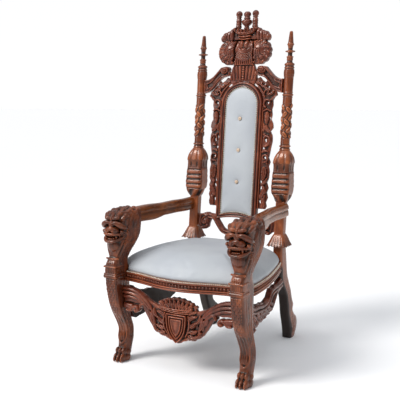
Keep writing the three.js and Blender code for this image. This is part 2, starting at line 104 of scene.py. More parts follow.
class Clay:
    # a block of signed distances on a cubic grid, in metres, negative inside the wood

    def __init__(self, low, high, cell):
        self.cell = cell
        pad = 3 * cell
        self.axes = [np.arange(a - pad, b + pad, cell, dtype=np.float32) for a, b in zip(low, high)]
        self.field = np.full([len(axis) for axis in self.axes], 0.02, np.float32)

    def window(self, low, high):
        cuts = [slice(max(np.searchsorted(axis, a) - 1, 0), np.searchsorted(axis, b) + 1)
                for axis, a, b in zip(self.axes, low, high)]
        x, y, z = [axis[cut] for axis, cut in zip(self.axes, cuts)]
        return tuple(cuts), x[:, None, None], y[None, :, None], z[None, None, :]

    def merge(self, cuts, distance, blend, carve=False):
        old = self.field[cuts]
        self.field[cuts] = -softMin(-old, distance, blend) if carve else softMin(old, distance, blend)

    def egg(self, at, radii, turn=(0, 0, 0), blend=0.004, carve=False):
        # an ellipsoid: distance is k0 (k0 - 1) / k1, with k0 and k1 the lengths of p over r and p over r squared
        reach = max(radii) + 2 * blend + 2 * self.cell
        at = np.asarray(at, float)
        cuts, x, y, z = self.window(at - reach, at + reach)
        p = turnedBy((x - at[0], y - at[1], z - at[2]), turn)
        k0 = np.sqrt(sum((c / r) ** 2 for c, r in zip(p, radii))) + 1e-9
        k1 = np.sqrt(sum((c / r**2) ** 2 for c, r in zip(p, radii))) + 1e-9
        self.merge(cuts, k0 * (k0 - 1) / k1, blend, carve)

    def strand(self, points, radii, blend=0.003, carve=False, count=14, flat=(1, 1, 1)):
        # a round rope of changing radius along a curve; flat squeezes it along the axes
        flat = np.asarray(flat, float)
        line = curveThrough(points, count)
        thick = np.interp(np.linspace(0, 1, count), np.linspace(0, 1, len(radii)), radii)
        reach = (thick.max() + 2 * blend + 2 * self.cell) * np.maximum(flat, 1)
        cuts, x, y, z = self.window(line.min(0) - reach, line.max(0) + reach)
        best = None
        for a, b, ra, rb in zip(line[:-1], line[1:], thick[:-1], thick[1:]):
            run = (b - a) / flat
            p = [(c - o) / f for c, o, f in zip((x, y, z), a, flat)]
            t = np.clip(sum(c * r for c, r in zip(p, run)) / max(run @ run, 1e-12), 0, 1)
            d = np.sqrt(sum((c - t * r) ** 2 for c, r in zip(p, run))) - (ra + (rb - ra) * t)
            best = d if best is None else np.minimum(best, d)
        self.merge(cuts, best * float(flat.min()), blend, carve)

    def slab(self, low, high, corner=0.002, blend=0.002, carve=False):
        # a box with rounded edges
        low, high = np.asarray(low, float), np.asarray(high, float)
        reach = 2 * blend + 2 * self.cell
        cuts, x, y, z = self.window(low - reach, high + reach)
        q = [np.abs(c - (a + b) / 2) - (b - a) / 2 + corner for c, a, b in zip((x, y, z), low, high)]
        outside = np.sqrt(sum(np.maximum(c, 0) ** 2 for c in q))
        self.merge(cuts, outside + np.minimum(np.maximum(np.maximum(q[0], q[1]), q[2]), 0) - corner, blend, carve)

    def surface(self):
        # quads where the field crosses zero, and how hollow or proud each point is at two sizes
        grid = openvdb.FloatGrid(3 * self.cell)
        grid.copyFromArray(np.clip(self.field, -3 * self.cell, 3 * self.cell))
        points, quads = grid.convertToQuads(isovalue=0.0)
        solid = np.clip(0.5 - self.field / self.cell, 0, 1)
        fine = sampleAt(boxBlur(solid, max(int(round(0.004 / self.cell)), 1)), points)
        wide = sampleAt(boxBlur(solid, max(int(round(0.011 / self.cell)), 2)), points)
        place = np.array([axis[0] for axis in self.axes]) + points * self.cell
        return place, quads, {"hollow": wide * 2 - 1, "edge": 1 - fine * 2}


def boxBlur(values, reach):
    # the mean over a cube of cells, one axis at a time, from running sums
    for axis in range(3):
        width = [(reach + 1, reach) if a == axis else (0, 0) for a in range(3)]
        sums = np.cumsum(np.pad(values, width, mode="edge"), axis=axis, dtype=np.float32)
        size = values.shape[axis]
        high = np.take(sums, np.arange(2 * reach + 1, 2 * reach + 1 + size), axis=axis)
        values = (high - np.take(sums, np.arange(size), axis=axis)) / (2 * reach + 1)
    return values


def sampleAt(values, points):
    # reads a grid between its cells, by the three straight blends
    top = np.array(values.shape) - 2
    base = np.clip(np.floor(points).astype(int), 0, top)
    part = points - base
    total = 0
    for i in (0, 1):
        for j in (0, 1):
            for k in (0, 1):
                share = np.abs(1 - i - part[:, 0]) * np.abs(1 - j - part[:, 1]) * np.abs(1 - k - part[:, 2])
                total = total + values[base[:, 0] + i, base[:, 1] + j, base[:, 2] + k] * share
    return total


class Board:
    # a drawing board for flat carving: u across and v up; edge is the outline's signed distance,
    # height is how far the carving stands proud of the board's face

    def __init__(self, low, high, cell):
        self.cell = cell
        self.u = np.arange(low[0] - 4 * cell, high[0] + 4 * cell, cell)
        self.v = np.arange(low[1] - 4 * cell, high[1] + 4 * cell, cell)
        self.edge = np.full((len(self.u), len(self.v)), 0.05)
        self.height = np.zeros_like(self.edge)

    def outline(self, points, cut=False):
        # signed distance to a closed outline, from the nearest side and the count of crossings
        points = np.asarray(points, float)
        u, v = self.u[:, None], self.v[None, :]
        best, inside = 1e9, np.zeros(self.edge.shape, bool)
        for a, b in zip(points, np.roll(points, -1, axis=0)):
            run = b - a
            t = np.clip(((u - a[0]) * run[0] + (v - a[1]) * run[1]) / max(run @ run, 1e-12), 0, 1)
            best = np.minimum(best, (u - a[0] - t * run[0]) ** 2 + (v - a[1] - t * run[1]) ** 2)
            if a[1] != b[1]:
                crossing = u < a[0] + (v - a[1]) / (b[1] - a[1]) * run[0]
                inside ^= ((a[1] > v) != (b[1] > v)) & crossing
        distance = np.sqrt(best) * np.where(inside, -1, 1)
        self.edge = np.maximum(self.edge, -distance) if cut else np.minimum(self.edge, distance)
        return distance

    def follow(self, points, count=22):
        # for every place on the board: share along the curve, signed distance to its side
        line = curveThrough(points, count)
        u, v = self.u[:, None], self.v[None, :]
        best = np.full(self.edge.shape, 1e9)
        share, side = np.zeros_like(best), np.zeros_like(best)
        for i, (a, b) in enumerate(zip(line[:-1], line[1:])):
            run = b - a
            length = max(float(np.hypot(*run)), 1e-9)
            t = np.clip(((u - a[0]) * run[0] + (v - a[1]) * run[1]) / length**2, 0, 1)
            du, dv = u - a[0] - t * run[0], v - a[1] - t * run[1]
            gap = du * du + dv * dv
            near = gap < best
            best = np.where(near, gap, best)
            share = np.where(near, (i + t) / (count - 1), share)
            side = np.where(near, np.sqrt(gap) * np.sign(run[0] * dv - run[1] * du), side)
        return share, side

    def raiseTo(self, height, where=None):
        # proud forms lie over each other, the higher one showing
        if where is not None:
            height = np.where(where, height, -1)
        self.height = np.maximum(self.height, height)

    def ridge(self, points, width, height, solid=False, base=0.0, count=22):
        # a half-round band along a curve; width and height may change along it
        share, side = self.follow(points, count)
        wide = np.interp(share, np.linspace(0, 1, len(width)), width)
        high = np.interp(share, np.linspace(0, 1, len(height)), height)
        across = np.clip(np.abs(side) / wide, 0, 1)
        self.raiseTo(base + high * np.sqrt(1 - across**2), np.abs(side) < wide)
        if solid:
            self.edge = np.minimum(self.edge, np.abs(side) - wide * 0.98)
        return share, side, wide

    def groove(self, points, width, depth, count=22):
        _, side = self.follow(points, count)
        self.height -= depth * np.exp(-(side / width) ** 2)

    def dome(self, at, radii, height, turn=0.0, solid=False, base=0.0):
        c, s = math.cos(turn), math.sin(turn)
        u, v = self.u[:, None] - at[0], self.v[None, :] - at[1]
        r = np.sqrt(((c * u + s * v) / radii[0]) ** 2 + ((c * v - s * u) / radii[1]) ** 2)
        self.raiseTo(base + height * np.sqrt(np.clip(1 - r * r, 0, 1)), r < 1)
        if solid:
            self.edge = np.minimum(self.edge, (r - 1) * min(radii))

    def hole(self, at, radii, turn=0.0):
        c, s = math.cos(turn), math.sin(turn)
        u, v = self.u[:, None] - at[0], self.v[None, :] - at[1]
        r = np.sqrt(((c * u + s * v) / radii[0]) ** 2 + ((c * v - s * u) / radii[1]) ** 2)
        self.edge = np.maximum(self.edge, (1 - r) * min(radii))

    def leaf(self, points, width, height, lobes=5, solid=False, base=0.0, count=22):
        # a lobed leaf along a curve: its half width swells and is notched between lobes, the face
        # is cupped on both sides of a raised middle rib, and side veins run out to each lobe
        share, side = self.follow(points, count)
        body = np.sin(np.pi * np.clip(share, 0, 1) ** 0.75) ** 0.6
        notch = 0.74 + 0.26 * np.abs(np.sin(np.pi * lobes * (share - 0.35 * np.abs(side) / width)))
        wide = np.maximum(width * body * notch, 1e-5)
        across = np.clip(np.abs(side) / wide, 0, 1)
        vein = np.cos(2 * np.pi * lobes * (share - 0.35 * np.abs(side) / width))
        face = (1 - across**2) ** 0.5 * (1 - 0.3 * np.exp(-((across - 0.28) / 0.16) ** 2) - 0.14 * (1 - vein) * across)
        self.raiseTo(base + height * face, (across < 1) & (share > 0) & (share < 1))
        if solid:
            self.edge = np.minimum(self.edge, np.where((share > 0.01) & (share < 0.99), np.abs(side) - wide, 0.01))

    def carved(self, face, back, bullnose=0.004, place=None):
        # cuts the board out of a block: wood from face - height back to back, its corners rounded
        reach = np.clip(self.edge + bullnose, 0, bullnose)
        drop = bullnose - np.sqrt(np.clip(bullnose**2 - reach**2, 0, None))
        front = (face - self.height + drop).astype(np.float32)
        slope = np.hypot(*np.gradient(self.height, self.cell))
        steep = np.sqrt(1 + np.minimum(slope, 3) ** 2).astype(np.float32)
        clay = Clay((self.u[0], front.min() - self.cell, self.v[0]), (self.u[-1], back, self.v[-1]), self.cell)
        clay.axes[0], clay.axes[2] = self.u.astype(np.float32), self.v.astype(np.float32)
        y = clay.axes[1][None, :, None]
        ahead = (front[:, None, :] - y) / steep[:, None, :]
        behind = y - (back - drop[:, None, :])
        clay.field = np.maximum(np.maximum(ahead, behind), self.edge[:, None, :]).astype(np.float32)
        return clay


def mirroredAbout(points):
    # the same outline on the other side of the middle line, joined on in order
    points = np.asarray(points, float)
    other = points[points[:, 0] > 1e-6][::-1] * (-1, 1)
    return np.concatenate([points, other])



backLean = 0.107


def lean(z):
    # depth of the raked back at a height, counted from the toes
    return 0.622 + backLean * (z - 0.56)


def leaned(points):
    points = points.copy()
    points[:, 1] += lean(points[:, 2])
    return points


def turnOut(points, faces):
    # signed volume of the closed shell: negative means it is inside out, so its faces are reversed
    p = points - points.mean(0)
    volume = 0.0
    for i in range(1, faces.shape[1] - 1):
        volume += np.einsum("ij,ij->", p[faces[:, 0]], np.cross(p[faces[:, i]], p[faces[:, i + 1]]))
    return faces[:, ::-1] if volume < 0 else faces


def shell(grid, caps=True):
    # a closed skin from a grid of points: rows along, columns around; each open end runs to a middle point
    rows, around = grid.shape[:2]
    index = np.arange(rows * around).reshape(rows, around)
    beside = np.roll(index, -1, axis=1)
    quads = np.stack([index[:-1], beside[:-1], beside[1:], index[1:]], axis=-1).reshape(-1, 4)
    points = grid.reshape(-1, 3)
    if caps:
        ends = np.array([grid[0].mean(0), grid[-1].mean(0)])
        last = len(points)
        points = np.concatenate([points, ends])
        start = np.stack([index[0], np.full(around, last), np.full(around, last), beside[0]], axis=-1)
        finish = np.stack([index[-1], beside[-1], np.full(around, last + 1), np.full(around, last + 1)], axis=-1)
        quads = np.concatenate([quads, start[:, [0, 1, 3, 3]], finish[:, [0, 1, 2, 2]]])
    return points, turnOut(points, quads)


def gather(shells):
    # several shells as one set of points and faces
    points, faces, start = [], [], 0
    for p, f in shells:
        points.append(p)
        faces.append(f + start)
        start += len(p)
    return np.concatenate(points), np.concatenate(faces)


def makePiece(name, points, faces, extras=None, smooth=True, shift=True):
    # faces of four corners; one whose last two corners are the same point is a triangle
    points = np.asarray(points, float).copy()
    if shift:
        points[:, 1] += toes
    triangle = (faces[:, 2] == faces[:, 3]) if faces.shape[1] == 4 else np.ones(len(faces), bool)
    corners = [face[:3] if short else face for face, short in zip(faces.tolist(), triangle)]
    mesh = bpy.data.meshes.new(name)
    mesh.from_pydata(points.tolist(), [], corners)
    for label, values in (extras or {}).items():
        layer = mesh.attributes.new(label, "FLOAT", "POINT")
        layer.data.foreach_set("value", np.asarray(values, np.float32))
    mesh.polygons.foreach_set("use_smooth", np.full(len(mesh.polygons), smooth))
    mesh.update()
    mesh.validate()
    piece = bpy.data.objects.new(name, mesh)
    bpy.context.scene.collection.objects.link(piece)
    return piece


def thinned(piece, share):
    # the same skin with this share of its triangles: flat places give theirs up first, carving keeps its own
    thinning = piece.modifiers.new("thinning", "DECIMATE")
    thinning.ratio = share
    graph = bpy.context.evaluated_depsgraph_get()
    slim = bpy.data.meshes.new_from_object(piece.evaluated_get(graph))
    piece.modifiers.remove(thinning)
    piece.data = slim
    return piece


def flipSide(points, faces):
    return points * (-1, 1, 1), faces[:, ::-1]


def dress(piece, material, slot, *nodes):
    piece.data.materials.append(material)
    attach(piece, "root")
    if nodes:
        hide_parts(*nodes)
    return piece


def sharpen(piece, degrees=40):
    # flat shading across corners sharper than this
    piece.data.set_sharp_from_angle(angle=math.radians(degrees))
    return piece


# materials

def srgb(red, green, blue):
    return tuple(c / 12.92 if c <= 0.04045 else ((c + 0.055) / 1.055) ** 2.4
                 for c in (red / 255, green / 255, blue / 255)) + (1.0,)


def put(tree, kind, settings=None, **sockets):
    # adds a node; a socket given another socket is linked to it, otherwise it takes the value
    node = tree.nodes.new(kind)
    for key, value in (settings or {}).items():
        setattr(node, key, value)
    for key, value in sockets.items():
        socket = node.inputs[int(key[1:])] if key[1:].isdigit() else node.inputs[key.replace("_", " ")]
        if isinstance(value, bpy.types.NodeSocket):
            tree.links.new(value, socket)
        else:
            socket.default_value = value
    return node


def newGroup(name, inputs, outputs):
    tree = bpy.data.node_groups.new(name, "ShaderNodeTree")
    for direction, sockets in (("INPUT", inputs), ("OUTPUT", outputs)):
        for label, kind, value in sockets:
            socket = tree.interface.new_socket(label, in_out=direction, socket_type="NodeSocket" + kind)
            if value is not None:
                socket.default_value = value
    return tree, tree.nodes.new("NodeGroupInput").outputs, tree.nodes.new("NodeGroupOutput").inputs


def math2(tree, operation, a, b, clamp=False):
    return put(tree, "ShaderNodeMath", {"operation": operation, "use_clamp": clamp}, i0=a, i1=b).outputs[0]


def between(tree, value, low, high):
    # 0 below low, 1 above high, eased
    return put(tree, "ShaderNodeMapRange", {"interpolation_type": "SMOOTHSTEP"},
               Value=value, From_Min=low, From_Max=high).outputs[0]


def blendColor(tree, share, a, b, kind="MIX"):
    node = tree.nodes.new("ShaderNodeMix")
    node.data_type, node.blend_type = "RGBA", kind
    for socket, value in zip((node.inputs[0], node.inputs[6], node.inputs[7]), (share, a, b)):
        if isinstance(value, bpy.types.NodeSocket):
            tree.links.new(value, socket)
        else:
            socket.default_value = value
    return node.outputs[2]


def woodFigureGroup():
    # stained wood: streaks drawn out along the grain, blotches of stain, painted shade darkening the hollows, rubbed
    # edges
    tree, given, out = newGroup("woodFigure", [
        ("Stretch", "Vector", (1, 1, 0.08)), ("Deep", "Color", None), ("Body", "Color", None),
        ("High", "Color", None), ("HollowShade", "Float", 1.0), ("Wear", "Float", 1.0), ("Figure", "Float", 1.0),
    ], [("Color", "Color", None), ("Roughness", "Float", None), ("Height", "Float", None)])
    place = put(tree, "ShaderNodeTexCoord").outputs["Object"]
    drawn = put(tree, "ShaderNodeVectorMath", {"operation": "MULTIPLY"}, i0=place, i1=given["Stretch"]).outputs[0]
    streak = put(tree, "ShaderNodeTexNoise", Vector=drawn, Scale=150.0, Detail=5.0, Roughness=0.6, Distortion=0.6)
    band = put(tree, "ShaderNodeTexNoise", Vector=drawn, Scale=26.0, Detail=3.0, Roughness=0.55, Distortion=1.4)
    blotch = put(tree, "ShaderNodeTexNoise", Vector=place, Scale=9.0, Detail=3.0, Roughness=0.6)
    rub = put(tree, "ShaderNodeTexNoise", Vector=place, Scale=45.0, Detail=4.0, Roughness=0.65)
    hollow = put(tree, "ShaderNodeAttribute", {"attribute_name": "hollow"}).outputs["Fac"]
    edge = put(tree, "ShaderNodeAttribute", {"attribute_name": "edge"}).outputs["Fac"]
    figure = math2(tree, "ADD", math2(tree, "MULTIPLY", streak.outputs[0], 0.45),
                   math2(tree, "MULTIPLY", band.outputs[0], 0.75))
    figure = between(tree, figure, 0.42, 0.78)
    figure = math2(tree, "MULTIPLY", figure, given["Figure"])
    color = blendColor(tree, figure, given["Body"], given["Deep"])
    color = blendColor(tree, math2(tree, "MULTIPLY", between(tree, blotch.outputs[0], 0.45, 0.72), 0.5),
                       color, given["High"])
    proud = math2(tree, "ADD", edge, math2(tree, "MULTIPLY", math2(tree, "SUBTRACT", rub.outputs[0], 0.5), 0.35))
    rubbed = math2(tree, "MULTIPLY", between(tree, proud, 0.1, 0.55), given["Wear"], True)
    color = blendColor(tree, rubbed, color, given["High"])
    # painted shade: the hollow attribute, with a little noise, blends the colour toward near-black and roughens it, so
    # recesses read as shaded
    sunk = math2(tree, "ADD", hollow, math2(tree, "MULTIPLY", math2(tree, "SUBTRACT", rub.outputs[0], 0.5), 0.12))
    hollowShadeMask = math2(tree, "MULTIPLY", between(tree, sunk, 0.0, 0.38), given["HollowShade"], True)
    color = blendColor(tree, hollowShadeMask, color, srgb(17, 6, 4))
    tree.links.new(color, out["Color"])
    rough = math2(tree, "ADD", math2(tree, "MULTIPLY", hollowShadeMask, 0.3), math2(tree, "MULTIPLY", streak.outputs[0], 0.14))
    tree.links.new(math2(tree, "ADD", rough, 0.20), out["Roughness"])
    tree.links.new(math2(tree, "ADD", math2(tree, "MULTIPLY", streak.outputs[0], 0.6),
                         math2(tree, "MULTIPLY", band.outputs[0], 0.4)), out["Height"])
    return tree


woodFigure = woodFigureGroup()


# one setting scales the painted shade that darkens the hollows
def woodMaterial(name, stretch, deep, body, high, hollowShadeLevel=1.0, wear=1.0, figure=1.0, coat=0.35, bump=0.12):
    material = bpy.data.materials.new(name)
    material.use_nodes = True
    tree = material.node_tree
    tree.nodes.clear()
    look = tree.nodes.new("ShaderNodeGroup")
    look.node_tree = woodFigure
    for label, value in (("Stretch", stretch), ("Deep", deep), ("Body", body), ("High", high),
                         ("HollowShade", hollowShadeLevel), ("Wear", wear), ("Figure", figure)):
        look.inputs[label].default_value = value
    bumped = put(tree, "ShaderNodeBump", Strength=bump, Distance=0.0015, Height=look.outputs["Height"])
    shader = put(tree, "ShaderNodeBsdfPrincipled", Base_Color=look.outputs["Color"],
                 Roughness=look.outputs["Roughness"], Normal=bumped.outputs[0])
    shader.inputs["Coat Weight"].default_value = coat
    shader.inputs["Coat Roughness"].default_value = 0.14
    shader.inputs["Coat Tint"].default_value = (1.0, 0.80, 0.66, 1)
    shader.inputs["Specular IOR Level"].default_value = 0.32
    shader.inputs["Specular Tint"].default_value = (1.0, 0.88, 0.80, 1)
    tree.links.new(shader.outputs[0], put(tree, "ShaderNodeOutputMaterial").inputs[0])
    return material


upright, acrossSeat, backward = (1, 1, 0.07), (0.07, 1, 1), (1, 0.07, 1)
carvedWood = woodMaterial("carvedMahogany", upright, srgb(50, 18, 12), srgb(102, 46, 31), srgb(160, 90, 62),
                          hollowShadeLevel=1.1, wear=0.9, figure=0.9, coat=0.35)
lionWood = woodMaterial("lionMahogany", upright, srgb(44, 17, 9), srgb(97, 45, 24), srgb(160, 88, 48),
                        hollowShadeLevel=1.1, wear=0.85, figure=1.0, coat=0.35)
turnedWood = woodMaterial("turnedMahogany", upright, srgb(68, 28, 15), srgb(128, 67, 37), srgb(176, 104, 60),
                          hollowShadeLevel=1.1, wear=0.6, figure=0.9, coat=0.35)
armWood = woodMaterial("armMahogany", backward, srgb(68, 31, 12), srgb(124, 68, 30), srgb(168, 100, 50),
                       hollowShadeLevel=0.8, wear=0.5, figure=0.9, coat=0.35)
railWood = woodMaterial("railMahogany", acrossSeat, srgb(46, 17, 10), srgb(102, 46, 29), srgb(164, 92, 60),
                        hollowShadeLevel=1.0, wear=0.8, figure=0.8, coat=0.35)
print("wood materials made")

# front legs: paw, cuff, fluted shank, scaled knee, ledge, tuft and lion head, carved from one post

lionLeg = {
    "middle": 0.347,
    "cell": 0.0021,
    "keep": 0.60,
    "ledge": (0.446, 0.462),
    "table": [  # height, front, back, width, squareness
        (0.000, 0.010, 0.076, 0.054, 3.0), (0.020, 0.008, 0.086, 0.062, 2.8),
        (0.045, 0.022, 0.095, 0.064, 2.8), (0.075, 0.036, 0.103, 0.065, 3.0),
        (0.120, 0.043, 0.110, 0.070, 4.0), (0.165, 0.044, 0.110, 0.072, 4.0),
        (0.210, 0.024, 0.093, 0.074, 4.0), (0.260, -0.006, 0.080, 0.074, 4.0),
        (0.310, -0.028, 0.074, 0.073, 5.0), (0.370, -0.042, 0.074, 0.072, 6.0),
        (0.430, -0.050, 0.074, 0.072, 7.0), (0.478, -0.053, 0.074, 0.071, 7.0),
        (0.508, -0.052, 0.066, 0.070, 5.0), (0.530, -0.042, 0.070, 0.070, 4.0),
        (0.548, -0.028, 0.084, 0.070, 3.4), (0.575, -0.027, 0.102, 0.079, 3.2),
        (0.612, -0.024, 0.122, 0.098, 3.6), (0.650, -0.022, 0.132, 0.114, 4.2),
        (0.700, -0.023, 0.137, 0.122, 4.8), (0.745, -0.018, 0.143, 0.118, 4.8),
        (0.768, -0.010, 0.155, 0.106, 4.2), (0.784, 0.002, 0.156, 0.088, 3.6),
    ],
}


def scaleMap(x, z, wide, high):
    # overlapping tongue-shaped scales in staggered rows, the lower edge of each standing proud
    best = np.zeros(np.broadcast(x, z).shape)
    base = np.floor(z / high)
    for row in (0, 1, 2):
        line = base + row
        shift = (line % 2) * wide / 2
        dx = (x + shift + wide / 2) % wide - wide / 2
        dz = (line + 0.5) * high - z
        r = np.hypot(dx / (wide * 0.52), dz / (high * 1.25))
        tongue = np.where((r < 1) & (dz > -high * 0.5), 0.12 + 0.88 * np.clip((dz / high + 0.5) / 1.75, 0, 1), 0)
        rib = 1 - 0.25 * np.exp(-(dx / (wide * 0.09)) ** 2)
        best = np.maximum(best, tongue * (1 - r**8 * 0.35) * rib)
    return best


def carveLion():
    clay = Clay((-0.066, -0.072, 0.0), (0.066, 0.168, 0.794), lionLeg["cell"])
    xs, ys, zs = clay.axes
    x, y, z = xs[:, None, None], ys[None, :, None], zs[None, None, :]
    front, back, width, square = [column.astype(np.float32) for column in easeTable(lionLeg["table"], zs).T]
    middle, deep, half = (front + back) / 2, (back - front) / 2, width / 2
    px, py = x / half, (y - middle) / deep
    k = (np.abs(px) ** square + np.abs(py) ** square) ** (1 / square)
    # the slope of k in the plane turns it into a distance near the skin
    sx = (np.abs(px) / np.maximum(k, 1e-3)) ** (square - 1) / half
    sy = (np.abs(py) / np.maximum(k, 1e-3)) ** (square - 1) / deep
    field = (k - 1) / np.sqrt(sx * sx + sy * sy + 1)
    toFront = np.clip(-np.sign(py) * sy / np.hypot(sx, sy).clip(1e-3), 0, 1)
    toSide = sx / np.hypot(sx, sy).clip(1e-3)
    toBack = np.clip(np.sign(py) * sy / np.hypot(sx, sy).clip(1e-3), 0, 1)

    # reeds round the shank, fading out at the cuff and below the scales
    turn = np.arctan2(px, -py)
    reeds = (0.5 + 0.5 * np.cos(turn * 14)) ** 0.8
    shank = smoothStep(0.115, 0.14, z) * (1 - smoothStep(0.30, 0.335, z))
    plain = 1 - toFront * smoothStep(0.235, 0.262, z)
    field = field + (0.0038 * reeds * shank * plain).astype(np.float32)

    # scales on the front of the knee, in a shield that comes to a point at the bottom
    xf, zf = xs[:, None], zs[None, :]
    bound = np.interp(zf, [0.225, 0.30, 0.40, 0.44], [0.004, 0.024, 0.031, 0.031])
    mask = smoothStep(0, 0.004, bound - np.abs(xf)) * smoothStep(0.225, 0.24, zf) * (1 - smoothStep(0.436, 0.44, zf))
    scales = scaleMap(xf, zf, 0.0190, 0.0145) * mask * 0.0085
    tuft = (0.5 + 0.5 * np.cos(xf * 2 * np.pi / 0.0105)) * 0.0034
    tuft = tuft * smoothStep(0.466, 0.474, zf) * (1 - smoothStep(0.520, 0.530, zf))
    field = field - ((scales - 0.002 * mask + tuft)[:, None, :] * toFront).astype(np.float32)

    # flowing locks down the sides of the head and the neck, and long hollows on the flank of the knee
    flank = Board((ys[0], zs[0]), (ys[1], zs[1]), clay.cell)
    flank.u, flank.v = ys.astype(float), zs.astype(float)
    flank.edge = np.zeros((len(ys), len(zs)))
    flank.height = np.zeros_like(flank.edge)
    for i in range(5):
        top, foot = 0.046 + 0.0255 * i, 0.020 + 0.0190 * i
        bend = 0.008 * math.sin(i * 1.9 + 0.6)
        flank.ridge([(top, 0.786 - 0.004 * abs(i - 2)), (top + 0.008 + bend, 0.742), (top - 0.006 - bend, 0.700),
                     (top + 0.004 + bend, 0.652), ((top + foot) / 2, 0.600), (foot, 0.548)],
                    (0.010, 0.0165, 0.0175, 0.0165, 0.014, 0.009), (0.003, 0.0075, 0.0090, 0.0080, 0.006, 0.002))
    for offset in (-0.018, 0.004, 0.026):
        flank.ridge([(0.012 + offset, 0.43), (0.014 + offset, 0.37), (0.022 + offset, 0.32)],
                    (0.008, 0.011, 0.007), (0.0008, 0.0022, 0.0008))
    locks = flank.height
    fine = 0.0012 * np.cos(flank.u[:, None] * 2 * np.pi / 0.0072) * smoothStep(0.001, 0.006, locks)
    field = field - ((locks + fine * (flank.v > 0.55) - 0.0015)[None] * toSide ** 2).astype(np.float32)
    nape = (0.5 + 0.5 * np.cos(xs[:, None] * 2 * np.pi / 0.019)) * 0.005 * smoothStep(0.57, 0.62, zs[None, :])
    field = field - (nape[:, None, :] * toBack).astype(np.float32)
    clay.field = np.maximum(field, z - 0.7740).astype(np.float32)

    def pair(make, at, *rest, turn=(0, 0, 0), **more):
        for side in (1, -1):
            make((side * at[0], at[1], at[2]), *rest, turn=(turn[0], side * turn[1], side * turn[2]), **more)

    def twice(points, radii, **more):
        for side in (1, -1):
            clay.strand([(side * p[0], p[1], p[2]) for p in points], radii, **more)

    def skin(y, z, out=0.0):
        # how far from the middle the side of the post lies at a depth and height
        f, b, w, q = easeTable(lionLeg["table"], np.array([z]))[0]
        return w / 2 * (1 - min(abs((y - (f + b) / 2) / ((b - f) / 2)), 0.995) ** q) ** (1 / q) + out

    # paw: toes and knuckles bunched under a hanging loop with short reeds inside it
    for i in (-1, 0, 1):
        forward = 0.004 if i == 0 else 0.0
        clay.egg((i * 0.0205, 0.020 - forward, 0.0195), (0.0120, 0.0235, 0.0210), blend=0.002)
        clay.egg((i * 0.0190, 0.030 - forward, 0.050), (0.0110, 0.0165, 0.0185), turn=(0.35, 0, 0), blend=0.003)
        clay.strand([(i * 0.0205, -0.001 - forward, 0.018), (i * 0.0208, -0.0035 - forward, 0.009), (i * 0.021, 0.000 - forward, 0.002)],
                    (0.0058, 0.0050, 0.0035), blend=0.0015)
        clay.strand([(i * 0.0105, 0.049, 0.150), (i * 0.0105, 0.044, 0.128), (i * 0.0100, 0.041, 0.108)],
                    (0.003, 0.0050, 0.0050), blend=0.002)
    for side in (-1, 1):
        clay.egg((side * 0.0300, 0.048, 0.0180), (0.0080, 0.0230, 0.0180), blend=0.002)
        clay.egg((side * 0.0290, 0.056, 0.0440), (0.0085, 0.0200, 0.0150), blend=0.003)
    clay.strand([(-0.0235, 0.049, 0.150), (-0.0225, 0.045, 0.118), (0, 0.036, 0.088), (0.0225, 0.045, 0.118),
                 (0.0235, 0.049, 0.150)], (0.003, 0.0052, 0.0062, 0.0052, 0.003), blend=0.002, count=22)

    # ledge under the tuft, and the necking above it
    low, high = lionLeg["ledge"]
    clay.slab((-0.038, -0.058, low), (0.038, 0.020, high), corner=0.005)
    clay.slab((-0.0365, -0.056, 0.462), (0.0365, -0.030, 0.470), corner=0.003)
    clay.strand([(-0.033, -0.030, 0.541), (0, -0.036, 0.539), (0.033, -0.030, 0.541)], (0.005, 0.0060, 0.005), blend=0.004)
    clay.slab((-0.0370, -0.0575, 0.4990), (0.0370, 0.010, 0.5080), corner=0.004, blend=0.001)

    # head: low forehead, heavy sloping brows, sunk eyes and a broad flat nose
    clay.egg((0, -0.010, 0.740), (0.050, 0.020, 0.030), blend=0.008)
    pair(clay.egg, (0.023, -0.031, 0.744), (0.0215, 0.0125, 0.0115), turn=(0, -0.25, 0), blend=0.002)
    clay.egg((0, -0.036, 0.737), (0.0080, 0.009, 0.0130), blend=0.002)
    clay.egg((0, -0.026, 0.712), (0.0175, 0.024, 0.022), turn=(0.25, 0, 0), blend=0.005)
    pair(clay.egg, (0.0360, -0.032, 0.6965), (0.0185, 0.020, 0.0105), turn=(0, 0.3, 0), blend=0.002, carve=True)
    pair(clay.egg, (0.0330, -0.0190, 0.7000), (0.0100, 0.0100, 0.0080), blend=0.001)
    twice([(0.007, -0.043, 0.7220), (0.023, -0.044, 0.7235), (0.041, -0.038, 0.7160), (0.0570, -0.019, 0.7020), (0.0615, 0.002, 0.6920)],
          (0.0070, 0.0112, 0.0140, 0.0128, 0.0070), blend=0.0015)
    pair(clay.egg, (0.0530, -0.022, 0.6770), (0.0105, 0.0130, 0.0100), blend=0.0015)
    pair(clay.egg, (0.0185, -0.034, 0.6830), (0.0225, 0.023, 0.0185), turn=(-0.1, 0, 0.2), blend=0.003)
    clay.egg((0, -0.047, 0.6930), (0.0240, 0.012, 0.0125), blend=0.003)
    pair(clay.egg, (0.0115, -0.0580, 0.6870), (0.0050, 0.005, 0.0042), blend=0.001, carve=True)
    clay.strand([(0, -0.062, 0.684), (0, -0.058, 0.668)], (0.0020, 0.0024), blend=0.001, carve=True)

